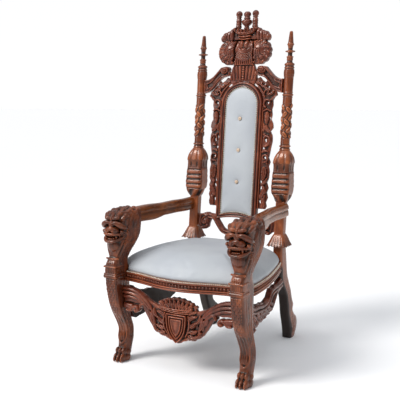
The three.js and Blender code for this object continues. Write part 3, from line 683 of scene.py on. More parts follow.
    # open mouth with teeth and a tongue, a rolled lower lip and a plain hanging chin
    clay.egg((0, -0.016, 0.6480), (0.0480, 0.032, 0.0280), blend=0.004)
    clay.egg((0, -0.020, 0.6070), (0.0330, 0.021, 0.0340), blend=0.004)
    clay.egg((0, -0.046, 0.6530), (0.0450, 0.038, 0.0128), blend=0.002, carve=True)
    clay.egg((0, -0.026, 0.6430), (0.0200, 0.022, 0.0060), blend=0.002)
    for i in (-3, -2, -1, 0, 1, 2, 3):
        reach = 0.0530 - 0.0014 * i * i
        clay.egg((i * 0.0086, -reach, 0.6625), (0.0039, 0.0035, 0.0062), blend=0.0008)
        clay.egg((i * 0.0080, -reach + 0.0060, 0.6415), (0.0036, 0.0035, 0.0054), blend=0.0008)
    twice([(0.031, -0.042, 0.665), (0.0315, -0.043, 0.656), (0.031, -0.042, 0.646)], (0.0056, 0.0046, 0.0020), blend=0.0008)
    twice([(0.040, -0.030, 0.665), (0.041, -0.029, 0.655)], (0.0046, 0.0028), blend=0.0008)
    twice([(0, -0.0550, 0.6300), (0.022, -0.0520, 0.6320), (0.041, -0.036, 0.6400), (0.0540, -0.012, 0.6530)],
          (0.0078, 0.0080, 0.0072, 0.004), blend=0.002)
    twice([(0, -0.0590, 0.6700), (0.024, -0.0550, 0.6670), (0.043, -0.038, 0.6670), (0.0560, -0.014, 0.6640)],
          (0.0045, 0.0058, 0.0060, 0.004), blend=0.0015)
    twice([(0.0280, -0.044, 0.622), (0.0290, -0.042, 0.600), (0.0215, -0.040, 0.578), (0, -0.042, 0.5660)],
          (0.0034, 0.0032, 0.0032, 0.0032), blend=0.001, carve=True)

    # folds of the cheek round the corner of the mouth, running down into the strands beside the chin
    for i in range(4):
        reach = 0.0150 + 0.0095 * i
        line = []
        for a in np.linspace(1.25, -1.75, 9):
            back, up = reach * math.cos(a) * 1.05, 0.6580 + reach * math.sin(a)
            line.append((skin(back, up, 0.0005 * i), back, up))
        twice(line, (0.0020, 0.0048, 0.0056, 0.0050, 0.0020), blend=0.0015, count=20)
    for y0, y1, size in ((-0.010, -0.022, 0.0080), (0.014, -0.004, 0.0085)):
        twice([(skin(y0 + 0.008, 0.635, -0.003), y0 + 0.004, 0.632), (skin(y0, 0.604, -0.003), y0 - 0.002, 0.604),
               (skin((y0 + y1) / 2, 0.578, -0.003), (y0 + y1) / 2, 0.578), (skin(y1, 0.554, -0.003), y1, 0.552)],
              (0.004, size, size, 0.004), blend=0.002)

    # mane over the crown: thick locks combed back from the brow, each with a groove along it
    for x0, x1, y0, y1, z0, size in [
            (0.000, 0.004, -0.030, 0.024, 0.762, 0.0135), (0.026, 0.032, -0.026, 0.020, 0.759, 0.0140),
            (0.048, 0.053, -0.012, 0.028, 0.750, 0.0130), (0.014, 0.012, 0.014, 0.066, 0.769, 0.0150),
            (0.040, 0.040, 0.020, 0.070, 0.764, 0.0150), (0.002, 0.008, 0.058, 0.108, 0.771, 0.0150),
            (0.030, 0.028, 0.060, 0.112, 0.768, 0.0150), (0.014, 0.016, 0.100, 0.150, 0.769, 0.0145),
            (0.048, 0.042, 0.066, 0.112, 0.755, 0.0140), (0.038, 0.032, 0.106, 0.148, 0.762, 0.0145)]:
        for side in (1, -1):
            middle = (x0 + x1) / 2 + 0.004
            lift = 0.012 if y0 < 0 else 0.005
            clay.strand([(side * x0, y0, z0 - lift), (side * middle, (y0 + y1) / 2, z0 + 0.004), (side * x1, y1, z0 - 0.004)],
                        (size * 0.72, size, size * 0.6), blend=0.0025)
            clay.strand([(side * (x0 + 0.001), y0 - size * 0.4, z0 + 0.002), (side * (middle + 0.001), (y0 + y1) / 2, z0 + 0.006 + size),
                         (side * x1, y1, z0 + 0.008)], (0.0018, 0.0034, 0.0018), blend=0.001, carve=True)
    clay.field = np.maximum(clay.field, np.maximum(-z, z - 0.7925)).astype(np.float32)
    return clay.surface()


points, faces, look = carveLion()
points = points + (lionLeg["middle"], 0, 0)
points[:, 0] -= 0.004 * smoothStep(0.56, 0.64, points[:, 2])
dress(thinned(makePiece("lionLegRight", points, faces, look), lionLeg["keep"]), lionWood, "wood", "front_leg_right")
dress(thinned(makePiece("lionLegLeft", *flipSide(points, faces), look), lionLeg["keep"]), lionWood, "wood", "front_leg_left")
print("lions carved", len(faces) * 2, "triangles each")

# back posts: splayed rear leg, stile, petal skirt, ribbed bulb, turned shaft with a band of vine, finial

backPost = {
    "middle": 0.262,
    "stile": (0.052, 0.050),
    "footSplay": 0.015,
    "splayTop": 0.392,
    "shaft": [  # height, radius
        (1.040, 0.024), (1.052, 0.026), (1.066, 0.0265), (1.068, 0.025), (1.110, 0.0245), (1.118, 0.0255),
        (1.124, 0.0262), (1.292, 0.0262), (1.300, 0.0252), (1.336, 0.0245), (1.360, 0.0245), (1.436, 0.0252),
        (1.442, 0.0270), (1.476, 0.0272), (1.480, 0.0235), (1.494, 0.0235), (1.520, 0.0140), (1.528, 0.0165),
        (1.534, 0.0160), (1.552, 0.0115), (1.562, 0.0120), (1.584, 0.0120), (1.596, 0.0135), (1.604, 0.0160),
        (1.612, 0.0155), (1.618, 0.0140), (1.668, 0.0092), (1.674, 0.0080), (1.6765, 0.004)],
    "rings": [  # height, half thickness, how far out
        (1.059, 0.004, 0.003), (1.077, 0.005, 0.0055), (1.345, 0.0055, 0.0045), (1.333, 0.003, 0.002),
        (1.357, 0.003, 0.002), (1.459, 0.010, 0.0012), (1.486, 0.004, 0.0035), (1.503, 0.0075, 0.0065),
        (1.542, 0.0045, 0.0045), (1.571, 0.0055, 0.0145), (1.607, 0.0045, 0.0025)],
    "vine": (1.116, 1.302),
    "bulb": [  # height, half width, half depth, squareness
        (0.778, 0.024, 0.022, 3.0), (0.790, 0.034, 0.031, 3.4), (0.806, 0.0425, 0.0385, 4.2),
        (0.826, 0.0475, 0.0430, 6.0), (0.926, 0.0485, 0.0440, 8.0), (0.965, 0.0480, 0.0440, 7.0),
        (1.000, 0.0500, 0.0455, 5.0), (1.022, 0.0465, 0.0425, 3.4), (1.040, 0.0385, 0.0360, 2.6),
        (1.052, 0.0300, 0.0290, 2.2), (1.058, 0.0260, 0.0255, 2.0)],
    "ribs": [(0.842, 0.0110), (0.868, 0.0105), (0.895, 0.0095), (0.923, 0.0125)],  # height, half thickness
}


def squareRing(turn, wide, deep, square):
    # points round a rounded square, its radius at each angle from the squareness
    c, s = np.cos(turn), np.sin(turn)
    size = (np.abs(c) ** square + np.abs(s) ** square) ** (-1 / square)
    return wide * c * size, deep * s * size


def shaftShell():
    # radius is read from the profile, each ring adds a half-round, and the vine is pressed out of the band
    z = np.linspace(1.040, 1.6765, 300)
    turn = np.linspace(0, 2 * np.pi, 56, endpoint=False)
    table = np.array(backPost["shaft"])
    radius = np.interp(z, table[:, 0], table[:, 1])
    for at, half, out in backPost["rings"]:
        radius = np.maximum(radius, np.interp(at, table[:, 0], table[:, 1])
                            + out * np.sqrt(np.clip(1 - ((z - at) / half) ** 2, 0, 1)) - (np.abs(z - at) > half))
    low, high = backPost["vine"]
    inBand = smoothStep(low, low + 0.006, z) * (1 - smoothStep(high - 0.006, high, z))
    u = turn[None, :] * 0.0262
    v = z[:, None] - low
    around = 2 * np.pi * 0.0262
    relief = np.full((len(z), len(turn)), -0.0024)
    for i in range(22):
        at, tilt = (i * 0.382 * around) % around, 0.75 if i % 2 else -0.75
        du = (u - at + around / 2) % around - around / 2
        dv = v - (0.006 + 0.0080 * i)
        along, across = du * math.sin(tilt) + dv * math.cos(tilt), du * math.cos(tilt) - dv * math.sin(tilt)
        r2 = (along / 0.0205) ** 2 + (across / 0.0115) ** 2
        dome = 0.0062 * np.sqrt(np.clip(1 - r2, 0, 1)) - 0.0012 * np.exp(-(across / 0.0016) ** 2)
        relief = np.maximum(relief, np.where(r2 < 1, dome - 0.0020, -0.0024))
    r = radius[:, None] + relief * inBand[:, None]
    points, faces = shell(np.stack([r * np.cos(turn), r * np.sin(turn), z[:, None] + 0 * r], axis=-1))
    # painted shade: the vine band's recesses and the turned necks are darkened through the hollow attribute, and the
    # proud parts count as rubbed edges
    bend = (np.roll(r, 2, 0) + np.roll(r, -2, 0) + np.roll(r, 2, 1) + np.roll(r, -2, 1)) / 4 - r
    hollow = np.concatenate([(bend * inBand[:, None] / 0.0016).ravel(), [0, 0]])
    necks = (np.convolve(radius, np.ones(13) / 13, "same") - radius)[:, None] + 0 * r
    hollow[:-2] += np.clip(necks / 0.004, -0.2, 0.5).ravel() * (1 - (inBand[:, None] + 0 * r).ravel())
    return leaned(points), faces, hollow * 0.5, -hollow


def bulbShell():
    # a rounded-square jar: ribs round its waist, petals over its shoulder, swirled leaves under it
    z = np.linspace(0.778, 1.058, 150)
    turn = np.linspace(0, 2 * np.pi, 96, endpoint=False) + np.pi / 96
    wide, deep, square = easeTable(backPost["bulb"], z).T
    up, facing = z[:, None], smoothStep(0.60, 0.72, np.abs(np.sin(turn)))[None, :]
    ribs = np.zeros_like(z)
    for at, half in backPost["ribs"]:
        ribs = np.maximum(ribs, np.clip(1 - ((z - at) / half) ** 2, 0, 1) ** 0.4)
    waist = smoothStep(0.826, 0.832, up) * (1 - smoothStep(0.936, 0.942, up))
    inset = 0.0062 * (1 - ribs)[:, None] * waist * facing
    inset = inset + 0.0022 * np.exp(-((up - 0.946) / 0.007) ** 2)
    # petals over the shoulder, narrow slits where they part, and leaves wrapped under the bulb
    lobes = np.abs(np.cos(turn * 4))[None, :]
    edgeOfPetal = 0.984 + 0.018 * (1 - lobes ** 0.5)
    shoulder = smoothStep(0.0, 0.004, up - edgeOfPetal)
    inset = inset + 0.0024 * (1 - shoulder) * smoothStep(0.944, 0.960, up)
    inset = inset + 0.0030 * shoulder * (1 - lobes) ** 2.5 * (1 - 0.7 * smoothStep(1.03, 1.055, up))
    slit = np.clip(1 - ((lobes - 0.0) / 0.28) ** 2, 0, 1) * np.exp(-((up - 0.966) / 0.013) ** 2)
    swirl = 0.5 + 0.5 * np.cos(turn[None, :] * 5 + up * 58)
    under = 1 - smoothStep(0.822, 0.830, up)
    inset = inset + 0.0050 * slit + 0.0055 * under * (1 - swirl) ** 1.3 * smoothStep(0.778, 0.795, up)
    x, y = squareRing(turn[None, :], 1, 1, square[:, None])
    grid = np.stack([x * (wide[:, None] - inset), y * (deep[:, None] - inset), z[:, None] + 0 * x], axis=-1)
    points, faces = shell(grid)
    # painted shade: the deeper a place is inset between ribs, petals and under-leaves, the darker it is painted
    hollow = np.concatenate([(inset / 0.0065).ravel(), [0, 0]])
    return leaned(points), faces, hollow * 0.42, 0.26 - hollow


def skirtShell():
    # a square bell of petals: flares down in a hollow curve to a scalloped hem, then closes under
    turn = np.linspace(0, 2 * np.pi, 96, endpoint=False)
    t = np.linspace(0, 1, 22)[:, None]
    petal = np.abs(np.sin(turn * 10 + np.pi / 4))[None, :]
    flute = 0.5 + 0.5 * np.cos(turn * 40)[None, :]
    half = 0.0270 + 0.0280 * t ** 0.80 + 0.0040 * t ** 6 - 0.0034 * (1 - petal) ** 1.5 * t ** 0.7 - 0.0006 * flute * t
    x, y = squareRing(turn[None, :], half, half, 5.5)
    z = 0.616 - 0.062 * t + 0.006 * t ** 4 * (1 - petal) ** 0.8
    under = np.stack([x[-1] * 0.86, y[-1] * 0.86, z[-1] + 0.004], axis=-1)[None]
    core = np.stack([x[0] * 0.8, y[0] * 0.8, 0.585 + 0 * x[0]], axis=-1)[None]
    grid = np.concatenate([np.stack([x * 0.8, y * 0.8, 0.622 + 0 * z], axis=-1)[:1], np.stack([x, y, z], axis=-1),
                           under, core])
    points, faces = shell(grid)
    # painted shade: darker between the petals and in the flutes, and darkest under the skirt
    hollow = np.zeros(grid.shape[:2])
    hollow[1:-2] = 0.55 * (1 - petal) ** 1.5 * t + 0.28 * flute * t
    hollow[-2:] = 0.9
    hollow = np.concatenate([hollow.ravel(), [0, 0.9]])
    return leaned(points), faces, hollow * 0.5, 0.3 - hollow


def stileShell():
    # front and back edges of the rear leg and stile, in step from the sole up; a rounded square runs between
    rows = np.array([
        (0.776, 0.000, 0.832, 0.000), (0.771, 0.010, 0.845, 0.012), (0.766, 0.028, 0.860, 0.032),
        (0.756, 0.060, 0.868, 0.070), (0.738, 0.105, 0.854, 0.108), (0.724, 0.140, 0.816, 0.136),
        (0.712, 0.180, 0.793, 0.168), (0.706, 0.200, 0.800, 0.196), (0.702, 0.214, 0.786, 0.216),
        (0.686, 0.262, 0.770, 0.244), (0.655, 0.305, 0.752, 0.285),
        (0.618, 0.345, 0.718, 0.340), (0.600, 0.380, 0.690, 0.386), (0.597, 0.430, 0.680, 0.430),
        (0.597, 0.500, 0.668, 0.500), (0.597, 0.540, 0.656, 0.560)])
    upper = [(lean(z) - 0.025, z, lean(z) + 0.025, z) for z in (0.60, 0.66, 0.72, 0.79)]
    rows = curveThrough(np.concatenate([rows, upper]), 100)
    rows[:, 1::2] = np.maximum(rows[:, 1::2], 0)
    turn = np.linspace(0, 2 * np.pi, 36, endpoint=False) + np.pi / 36
    wide, along = squareRing(turn, backPost["stile"][0] / 2, 1, 7)
    front, back = rows[:, None, :2], rows[:, None, 2:]
    middle, half = (front + back) / 2, (back - front) / 2
    place = middle + half * along[None, :, None]
    splay = backPost["footSplay"] * np.clip(1 - place[..., 1] / backPost["splayTop"], 0, 1)
    grid = np.concatenate([(wide[None, :] - splay)[..., None], place], axis=-1)
    points, faces = shell(grid)
    corner = np.abs(np.sin(turn * 2))[None, :] ** 6 + 0 * grid[..., 0]
    # painted shade: the rear leg's front and inner faces are darkened below the seat, where they stand in shade
    shade = np.maximum(smoothStep(0.3, 0.8, -along), smoothStep(0.5, 0.9, -wide / wide.max()))[None, :]
    shade = shade * (1 - smoothStep(0.40, 0.47, rows[:, 1]))[:, None]
    # a shallow volute carved into the outer side of the foot
    dy, dz = grid[..., 1] - 0.812, grid[..., 2] - 0.066
    away = np.hypot(dy, dz)
    curl = np.cos((away / 0.0125 - np.arctan2(dz, dy) / (2 * np.pi)) * 2 * np.pi) * (away < 0.040)
    outer = (wide / wide.max() > 0.97)[None, :]
    points[:-2, 0] -= (0.0022 * (curl - 0.5) * outer).ravel() * (away < 0.040).ravel()
    # painted shade also goes into the volute's groove and under the sole
    hollow = np.concatenate([(0.62 * shade + 0.16 * np.clip(curl, 0, 1) * outer).ravel(), [0.4, 0]])
    return points, faces, hollow, np.concatenate([(corner * 0.34).ravel(), [0, 0]])


def makePosts():
    parts = [shaftShell(), bulbShell(), skirtShell(), stileShell()]
    points, faces = gather([(p, f) for p, f, _, _ in parts])
    look = {"hollow": np.concatenate([h for _, _, h, _ in parts]), "edge": np.concatenate([e for _, _, _, e in parts])}
    points = points + (backPost["middle"], 0, 0)
    dress(makePiece("backPostRight", points, faces, look), turnedWood, "wood", "back_post_right")
    dress(makePiece("backPostLeft", *flipSide(points, faces), look), turnedWood, "wood", "back_post_left")
    print("posts turned", len(faces) * 2, "triangles each")


makePosts()

# arms: a moulded section carried back from the lion's mane to the post, deeper at its front end

arm = {
    "path": [  # depth, middle, half width, underside
        (0.158, 0.337, 0.0290, 0.702), (0.205, 0.330, 0.0290, 0.699), (0.290, 0.316, 0.0275, 0.699),
        (0.322, 0.310, 0.0270, 0.705), (0.350, 0.305, 0.0270, 0.712), (0.400, 0.298, 0.0265, 0.712),
        (0.480, 0.290, 0.0260, 0.712), (0.600, 0.284, 0.0260, 0.712), (0.634, 0.283, 0.0260, 0.712)],
    "top": 0.778,
    "line": 0.746,   # height of the moulded line along the side
}


def makeArms():
    # section points as (share of the half width, height), both ends of each row following the path table
    y = np.linspace(0.158, 0.634, 60)
    middle, half, low = easeTable(arm["path"], y).T
    top, line = arm["top"], arm["line"]
    section = [(0.72, 0.0, 0), (0.93, 0.004, 0), (0.97, 0.014, 0), (0.90, -0.005, 1), (0.80, -0.001, 1),
               (0.86, 0.003, 1), (0.99, 0.006, 1), (0.97, 0.014, 1), (0.86, 0.024, 1), (0.66, 0.0305, 1),
               (0.33, 0.0325, 1), (0, 0.033, 1)]
    half2 = section + [(-a, h, kind) for a, h, kind in reversed(section[:-1])]
    grid = []
    for share, height, kind in half2 + [(-0.4, -0.003, 0), (0, -0.004, 0), (0.4, -0.003, 0)]:
        z = np.minimum(line + height, top) if kind else low + height
        grid.append(np.stack([middle + half * share, y, z + 0 * y], axis=-1))
    grid = np.stack(grid, axis=1)
    # the soft wander of hand shaping
    grid[..., 2] += 0.0012 * np.sin(grid[..., 1] * 31)
    points, faces = shell(grid)
    n = grid.shape[1]
    edge = np.zeros(grid.shape[:2]); edge[:, [1, 6, n - 9, n - 4]] = 0.4
    # painted shade along the cove on each side of the arm
    hollow = np.zeros(grid.shape[:2]); hollow[:, [4]] = 0.28; hollow[:, [n - 7]] = 0.28
    look = {"hollow": np.append(hollow.ravel(), [0, 0]), "edge": np.append(edge.ravel(), [0, 0])}
    for name, node, shape in (("armRight", "arm_right", (points, faces)), ("armLeft", "arm_left", flipSide(points, faces))):
        piece = makePiece(name, *shape, look)
        dress(piece, armWood, "wood", node)
        finish = piece.modifiers.new("softened", "SUBSURF")
        finish.levels = finish.render_levels = 1
    print("arms made")


makeArms()

# seat rails: a section of two rolls, a hollow with a row of beads in it, and a fillet for the nails

seatRail = {
    "low": 0.420, "high": 0.471, "thick": 0.038,
    "front": [(0, -0.030), (0.09, -0.020), (0.15, -0.003), (0.21, 0.014), (0.27, 0.026), (0.3105, 0.031)],
    "side": [(0.0755, 0.3740), (0.110, 0.376), (0.175, 0.373), (0.282, 0.362), (0.350, 0.349), (0.420, 0.334),
             (0.520, 0.310), (0.5965, 0.288)],   # depth, outer edge
    "section": [  # inward from the edge, height over the rail's underside
        (0.0050, 0.0000), (0.0018, 0.0018), (0.0000, 0.0055), (0.0012, 0.0092), (0.0050, 0.0108),
        (0.0022, 0.0122), (0.0010, 0.0150), (0.0022, 0.0178), (0.0070, 0.0192), (0.0092, 0.0220),
        (0.0098, 0.0290), (0.0085, 0.0350), (0.0040, 0.0372), (0.0018, 0.0400), (0.0018, 0.0450),
        (0.0045, 0.0490), (0.0120, 0.0510)],
    "bead": 0.0072, "beadPitch": 0.0170, "beadHeight": 0.0290, "beadInset": 0.0060,
}


def railLine(which):
    rows = np.array(seatRail[which])
    if which == "front":
        half = np.concatenate([rows[::-1] * (-1, 1), rows[1:]])
        line = curveThrough(half, 90)
    else:
        line = curveThrough(rows[:, ::-1], 60)
    run = np.gradient(line, axis=0)
    run /= np.linalg.norm(run, axis=1)[:, None]
    return line, np.stack([-run[:, 1], run[:, 0]], axis=1)   # the second points in under the seat


def bump(at, radii, facing, around=8, rings=3):
    # a small closed dome standing on a disc, looking along facing
    facing = np.asarray(facing, float) / np.linalg.norm(facing)
    side = np.cross(facing, (0, 0, 1))
    side /= np.linalg.norm(side)
    up = np.cross(side, facing)
    turn = np.linspace(0, 2 * np.pi, around, endpoint=False)[None, :, None]
    rise = np.linspace(-0.25, 1.35, rings + 1)[:, None, None]
    ring = np.cos(rise) * (side * np.cos(turn) * radii[0] + up * np.sin(turn) * radii[1]) + np.sin(rise) * facing * radii[2]
    return shell(ring + np.asarray(at, float))


def alongLine(line, pitch, start=0.5):
    # places at an even pitch along a line, with the share of the line they lie at
    steps = np.concatenate([[0], np.cumsum(np.linalg.norm(np.diff(line, axis=0), axis=1))])
    count = int(round(steps[-1] / pitch))
    return np.interp((np.arange(count) + start) * steps[-1] / count, steps, np.arange(len(line)))


def readAt(values, where):
    low = np.clip(np.floor(where).astype(int), 0, len(values) - 2)
    part = (where - low)[:, None]
    return values[low] * (1 - part) + values[low + 1] * part


def makeRail(name, node, which, mirror=False):
    line, inward = railLine(which)
    section = curveThrough(seatRail["section"], 40)
    section = np.concatenate([section, [(seatRail["thick"], 0.051), (seatRail["thick"], 0.0)]])
    grid = np.concatenate([line[:, None, :] + inward[:, None, :] * section[None, :, :1],
                           np.broadcast_to(seatRail["low"] + section[None, :, 1:], (len(line), len(section), 1))], axis=-1)
    points, faces = shell(grid)
    # painted shade in the hollows of the rail's section, from how far each point lies in from its neighbours; the beads
    # count as proud
    smooth = np.convolve(np.pad(section[:, 0], 4, mode="edge"), np.ones(9) / 9, "valid")
    sunk = np.clip((section[:, 0] - smooth) / 0.004, -1, 1)
    sunk[-2:] = 0
    hollow = np.append(np.broadcast_to(sunk, (len(line), len(section))).ravel(), [0, 0])
    shells, levels = [(points, faces)], [hollow]
    where = alongLine(line, seatRail["beadPitch"])
    for at, back in zip(readAt(line, where), readAt(inward, where)):
        spot = at + back * seatRail["beadInset"]
        p, f = bump((spot[0], spot[1], seatRail["low"] + seatRail["beadHeight"]),
                    (seatRail["bead"], seatRail["bead"] * 0.92, seatRail["bead"] * 0.8), (-back[0], -back[1], 0), 10, 4)
        shells.append((p, f))
        levels.append(-0.25 + 0 * p[:, 0])
    points, faces = gather(shells)
    level = np.concatenate(levels)
    if mirror:
        points, faces = flipSide(points, faces)
    piece = makePiece(name, points, faces, {"hollow": level * 0.5, "edge": -level * 0.7})
    dress(piece, railWood if which == "front" else sideRailWood, "wood", node)


sideRailWood = woodMaterial("sideRailMahogany", backward, srgb(52, 24, 14), srgb(116, 62, 42), srgb(172, 106, 74),
                            hollowShadeLevel=1.0, wear=0.8, figure=0.7)
makeRail("seatRailFront", "seat_rail_front", "front")
makeRail("seatRailSideRight", "seat_rail_side_right", "side")
makeRail("seatRailSideLeft", "seat_rail_side_left", "side", mirror=True)
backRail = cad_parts["seat_rail_back"]
backRail.data.materials.clear()
backRail.data.materials.append(railWood)
print("rails made")

# back panel: an arched moulded frame, with the panel's outline growing evenly from its inner line

backPanel = {
    "half": 0.097, "arch": 1.295, "low": 0.692, "rise": 0.016,
    "moulding": [  # out from the opening, depth from the back's plane (forward is negative)
        (0.0000, 0.0130), (0.0000, -0.0120), (0.0006, -0.0165), (0.0030, -0.0190), (0.0062, -0.0182),
        (0.0084, -0.0150), (0.0100, -0.0142), (0.0118, -0.0160), (0.0150, -0.0195), (0.0190, -0.0205),
        (0.0222, -0.0190), (0.0244, -0.0150), (0.0256, -0.0090), (0.0260, 0.0000), (0.0260, 0.0145),
        (0.0240, 0.0160), (0.0020, 0.0160)],
}


def archLine(grow, count=48):
    # up one side, over the arch, down the other and along the bowed foot, all grown outward by grow
    half, low = backPanel["half"] + grow, backPanel["low"] - grow
    angle = np.linspace(0, np.pi, count)
    arch = np.stack([half * np.cos(angle), backPanel["arch"] + half * np.sin(angle)], axis=1)
    x = np.linspace(-half, half, 25)
    foot = np.stack([x, low + backPanel["rise"] * (1 - (x / half) ** 2)], axis=1)
    down = np.linspace(backPanel["arch"], low, 44)[1:-1]
    left = np.stack([-half + 0 * down, down], axis=1)
    return np.concatenate([arch, left, foot, left[::-1] * (-1, 1)])


def makeBackFrame():
    loops = []
    for grow, y in backPanel["moulding"]:
        line = archLine(grow)
        loops.append(np.stack([line[:, 0], y + 0 * line[:, 0], line[:, 1]], axis=1))
    grid = np.stack(loops)   # rows run across the moulding and close on themselves
    rows, around = grid.shape[:2]
    index = np.arange(rows * around).reshape(rows, around)
    down, beside = np.roll(index, -1, axis=0), np.roll(index, -1, axis=1)
    quads = np.stack([index, beside, np.roll(beside, -1, axis=0), down], axis=-1).reshape(-1, 4)
    points = grid.reshape(-1, 3)
    depth = np.array([y for _, y in backPanel["moulding"]])
    # painted shade in the moulding's coves, deepest at the opening where it meets the pad
    sunk = np.array([1, 0.7, -0.1, -0.3, 0.1, 0.6, 0.8, 0.5, 0, -0.3, -0.2, 0, 0.3, 0.6, 0, 0, 0.0])
    hollow = np.repeat(sunk, around)
    piece = makePiece("backFrame", leaned(points), turnOut(points, quads), {"hollow": hollow * 0.5, "edge": -hollow})
    dress(piece, carvedWood, "wood", "back_frame")
    finish = piece.modifiers.new("softened", "SUBSURF")
    finish.levels = finish.render_levels = 1
    print("back frame made")


makeBackFrame()

# upholstery: pale grey leather, tan buttons, cream nail heads


def leatherMaterial(name, tone, shade, grain=900.0, roughness=0.52):
    material = bpy.data.materials.new(name)
    material.use_nodes = True
    tree = material.node_tree
    tree.nodes.clear()
    place = put(tree, "ShaderNodeTexCoord").outputs["Object"]
    pores = put(tree, "ShaderNodeTexVoronoi", {"feature": "DISTANCE_TO_EDGE"}, Vector=place, Scale=grain * 0.5)
    soft = put(tree, "ShaderNodeTexNoise", Vector=place, Scale=grain * 0.02, Detail=4.0, Roughness=0.55)
    cloudy = put(tree, "ShaderNodeTexNoise", Vector=place, Scale=4.0, Detail=2.0)
    sunk = put(tree, "ShaderNodeAttribute", {"attribute_name": "hollow"}).outputs["Fac"]
    color = blendColor(tree, between(tree, cloudy.outputs[0], 0.35, 0.7), tone, shade)
    color = blendColor(tree, math2(tree, "MULTIPLY", between(tree, soft.outputs[0], 0.55, 0.8), 0.25), color,
                       tuple(c * 0.8 for c in shade[:3]) + (1,))
    # painted shade: where the hollow attribute is set, the leather is darkened toward a deep grey
    color = blendColor(tree, math2(tree, "MULTIPLY", between(tree, sunk, 0.05, 0.9), 0.6), color,
                       tuple(c * 0.45 for c in shade[:3]) + (1,))
    rough = math2(tree, "ADD", math2(tree, "MULTIPLY", soft.outputs[0], 0.16), roughness - 0.08)
    height = math2(tree, "ADD", math2(tree, "MULTIPLY", between(tree, pores.outputs[0], 0.0, 0.25), 0.5),
                   math2(tree, "MULTIPLY", soft.outputs[0], 0.8))
    bumped = put(tree, "ShaderNodeBump", Strength=0.08, Distance=0.001, Height=height)
    shader = put(tree, "ShaderNodeBsdfPrincipled", Base_Color=color, Roughness=rough, Normal=bumped.outputs[0])
    shader.inputs["Specular IOR Level"].default_value = 0.4
    tree.links.new(shader.outputs[0], put(tree, "ShaderNodeOutputMaterial").inputs[0])
    return material


def nailMaterial():
    material = bpy.data.materials.new("creamNail")
    material.use_nodes = True
    tree = material.node_tree
    tree.nodes.clear()
    place = put(tree, "ShaderNodeTexCoord").outputs["Object"]
    tarnish = put(tree, "ShaderNodeTexNoise", Vector=place, Scale=160.0, Detail=3.0)
    color = blendColor(tree, between(tree, tarnish.outputs[0], 0.35, 0.7), srgb(232, 224, 208), srgb(176, 156, 128))
    rough = math2(tree, "ADD", math2(tree, "MULTIPLY", tarnish.outputs[0], 0.3), 0.2)
    bumped = put(tree, "ShaderNodeBump", Strength=0.1, Distance=0.0005, Height=tarnish.outputs[0])
    shader = put(tree, "ShaderNodeBsdfPrincipled", Base_Color=color, Roughness=rough, Normal=bumped.outputs[0])
    shader.inputs["Metallic"].default_value = 0.35
    tree.links.new(shader.outputs[0], put(tree, "ShaderNodeOutputMaterial").inputs[0])
    return material


greyLeather = leatherMaterial("paleGreyLeather", srgb(172, 176, 179), srgb(163, 167, 172))
tanLeather = leatherMaterial("tanLeather", srgb(206, 184, 160), srgb(186, 160, 134))
creamNail = nailMaterial()

pads = {
    "cell": 0.006, "frames": 16, "pressure": 4.0, "limit": 0.006,
    "seatTop": 0.586, "seatFoot": 0.4715, "seatMiddle": (0.0, 0.300),
    "buttons": (1.220, 1.050, 0.878), "buttonRadius": 0.010,
    "panelFace": 0.0245,   # how far the back pad's middle stands before the back's plane
}


def plump(piece, held, swell):
    # the cover is blown up a little by the cloth solver, its held part kept still and its travel capped
    start = np.empty(len(piece.data.vertices) * 3)
    piece.data.vertices.foreach_get("co", start)
    start = start.reshape(-1, 3)
    group = piece.vertex_groups.new(name="held")
    group.add(np.flatnonzero(held).tolist(), 1.0, "REPLACE")
    cloth = piece.modifiers.new("cover", "CLOTH")
    cloth.settings.quality = 6
    cloth.settings.mass = 0.25
    cloth.settings.tension_stiffness = cloth.settings.compression_stiffness = 28
    cloth.settings.shear_stiffness, cloth.settings.bending_stiffness = 18, 2.5
    cloth.settings.vertex_group_mass = "held"
    cloth.settings.use_pressure = True
    cloth.settings.uniform_pressure_force = pads["pressure"]
    cloth.settings.effector_weights.gravity = 0
    cloth.collision_settings.use_collision = False
    scene = bpy.context.scene
    for number in range(1, pads["frames"] + 1):
        scene.frame_set(number)
    blown = piece.evaluated_get(bpy.context.evaluated_depsgraph_get()).to_mesh()
    moved = np.empty(len(blown.vertices) * 3)
    blown.vertices.foreach_get("co", moved)
    travel = moved.reshape(-1, 3) - start
    far = np.linalg.norm(travel, axis=1, keepdims=True)
    travel *= np.minimum(1, swell / np.maximum(far, 1e-9))
    piece.modifiers.remove(cloth)
    scene.frame_set(1)
    piece.data.vertices.foreach_set("co", (start + travel).ravel())
    piece.data.update()
    return piece


def seatLine():
    # the pad's edge in plan, counter-clockwise: bowed front, a notch at each lion leg, in to the posts
    front = [(x, y + 0.0075) for x, y in seatRail["front"]]
    side = [(x - 0.0080, y) for y, x in seatRail["side"][1:-1]]
    half = front[:-1] + [(0.3085, 0.040), (0.3090, 0.074), (0.3130, 0.0795), (0.3620, 0.0800)] + side
    half = half + [(0.2860, 0.573), (0.2800, 0.5800), (0.2340, 0.5835), (0.2310, 0.5900), (0.2300, 0.625),
                   (0.2200, 0.6330), (0.0, 0.6340)]
    half = np.array(half)
    whole = np.concatenate([half, half[1:-1][::-1] * (-1, 1)])
    steps = np.concatenate([[0], np.cumsum(np.linalg.norm(np.diff(np.vstack([whole, whole[:1]]), axis=0), axis=1))])
    at = np.linspace(0, steps[-1], 260, endpoint=False)
    closed = np.vstack([whole, whole[:1]])
    line = np.stack([np.interp(at, steps, closed[:, 0]), np.interp(at, steps, closed[:, 1])], axis=1)
    for _ in range(3):
        line = (np.roll(line, 1, 0) + 2 * line + np.roll(line, -1, 0)) / 4
    return line


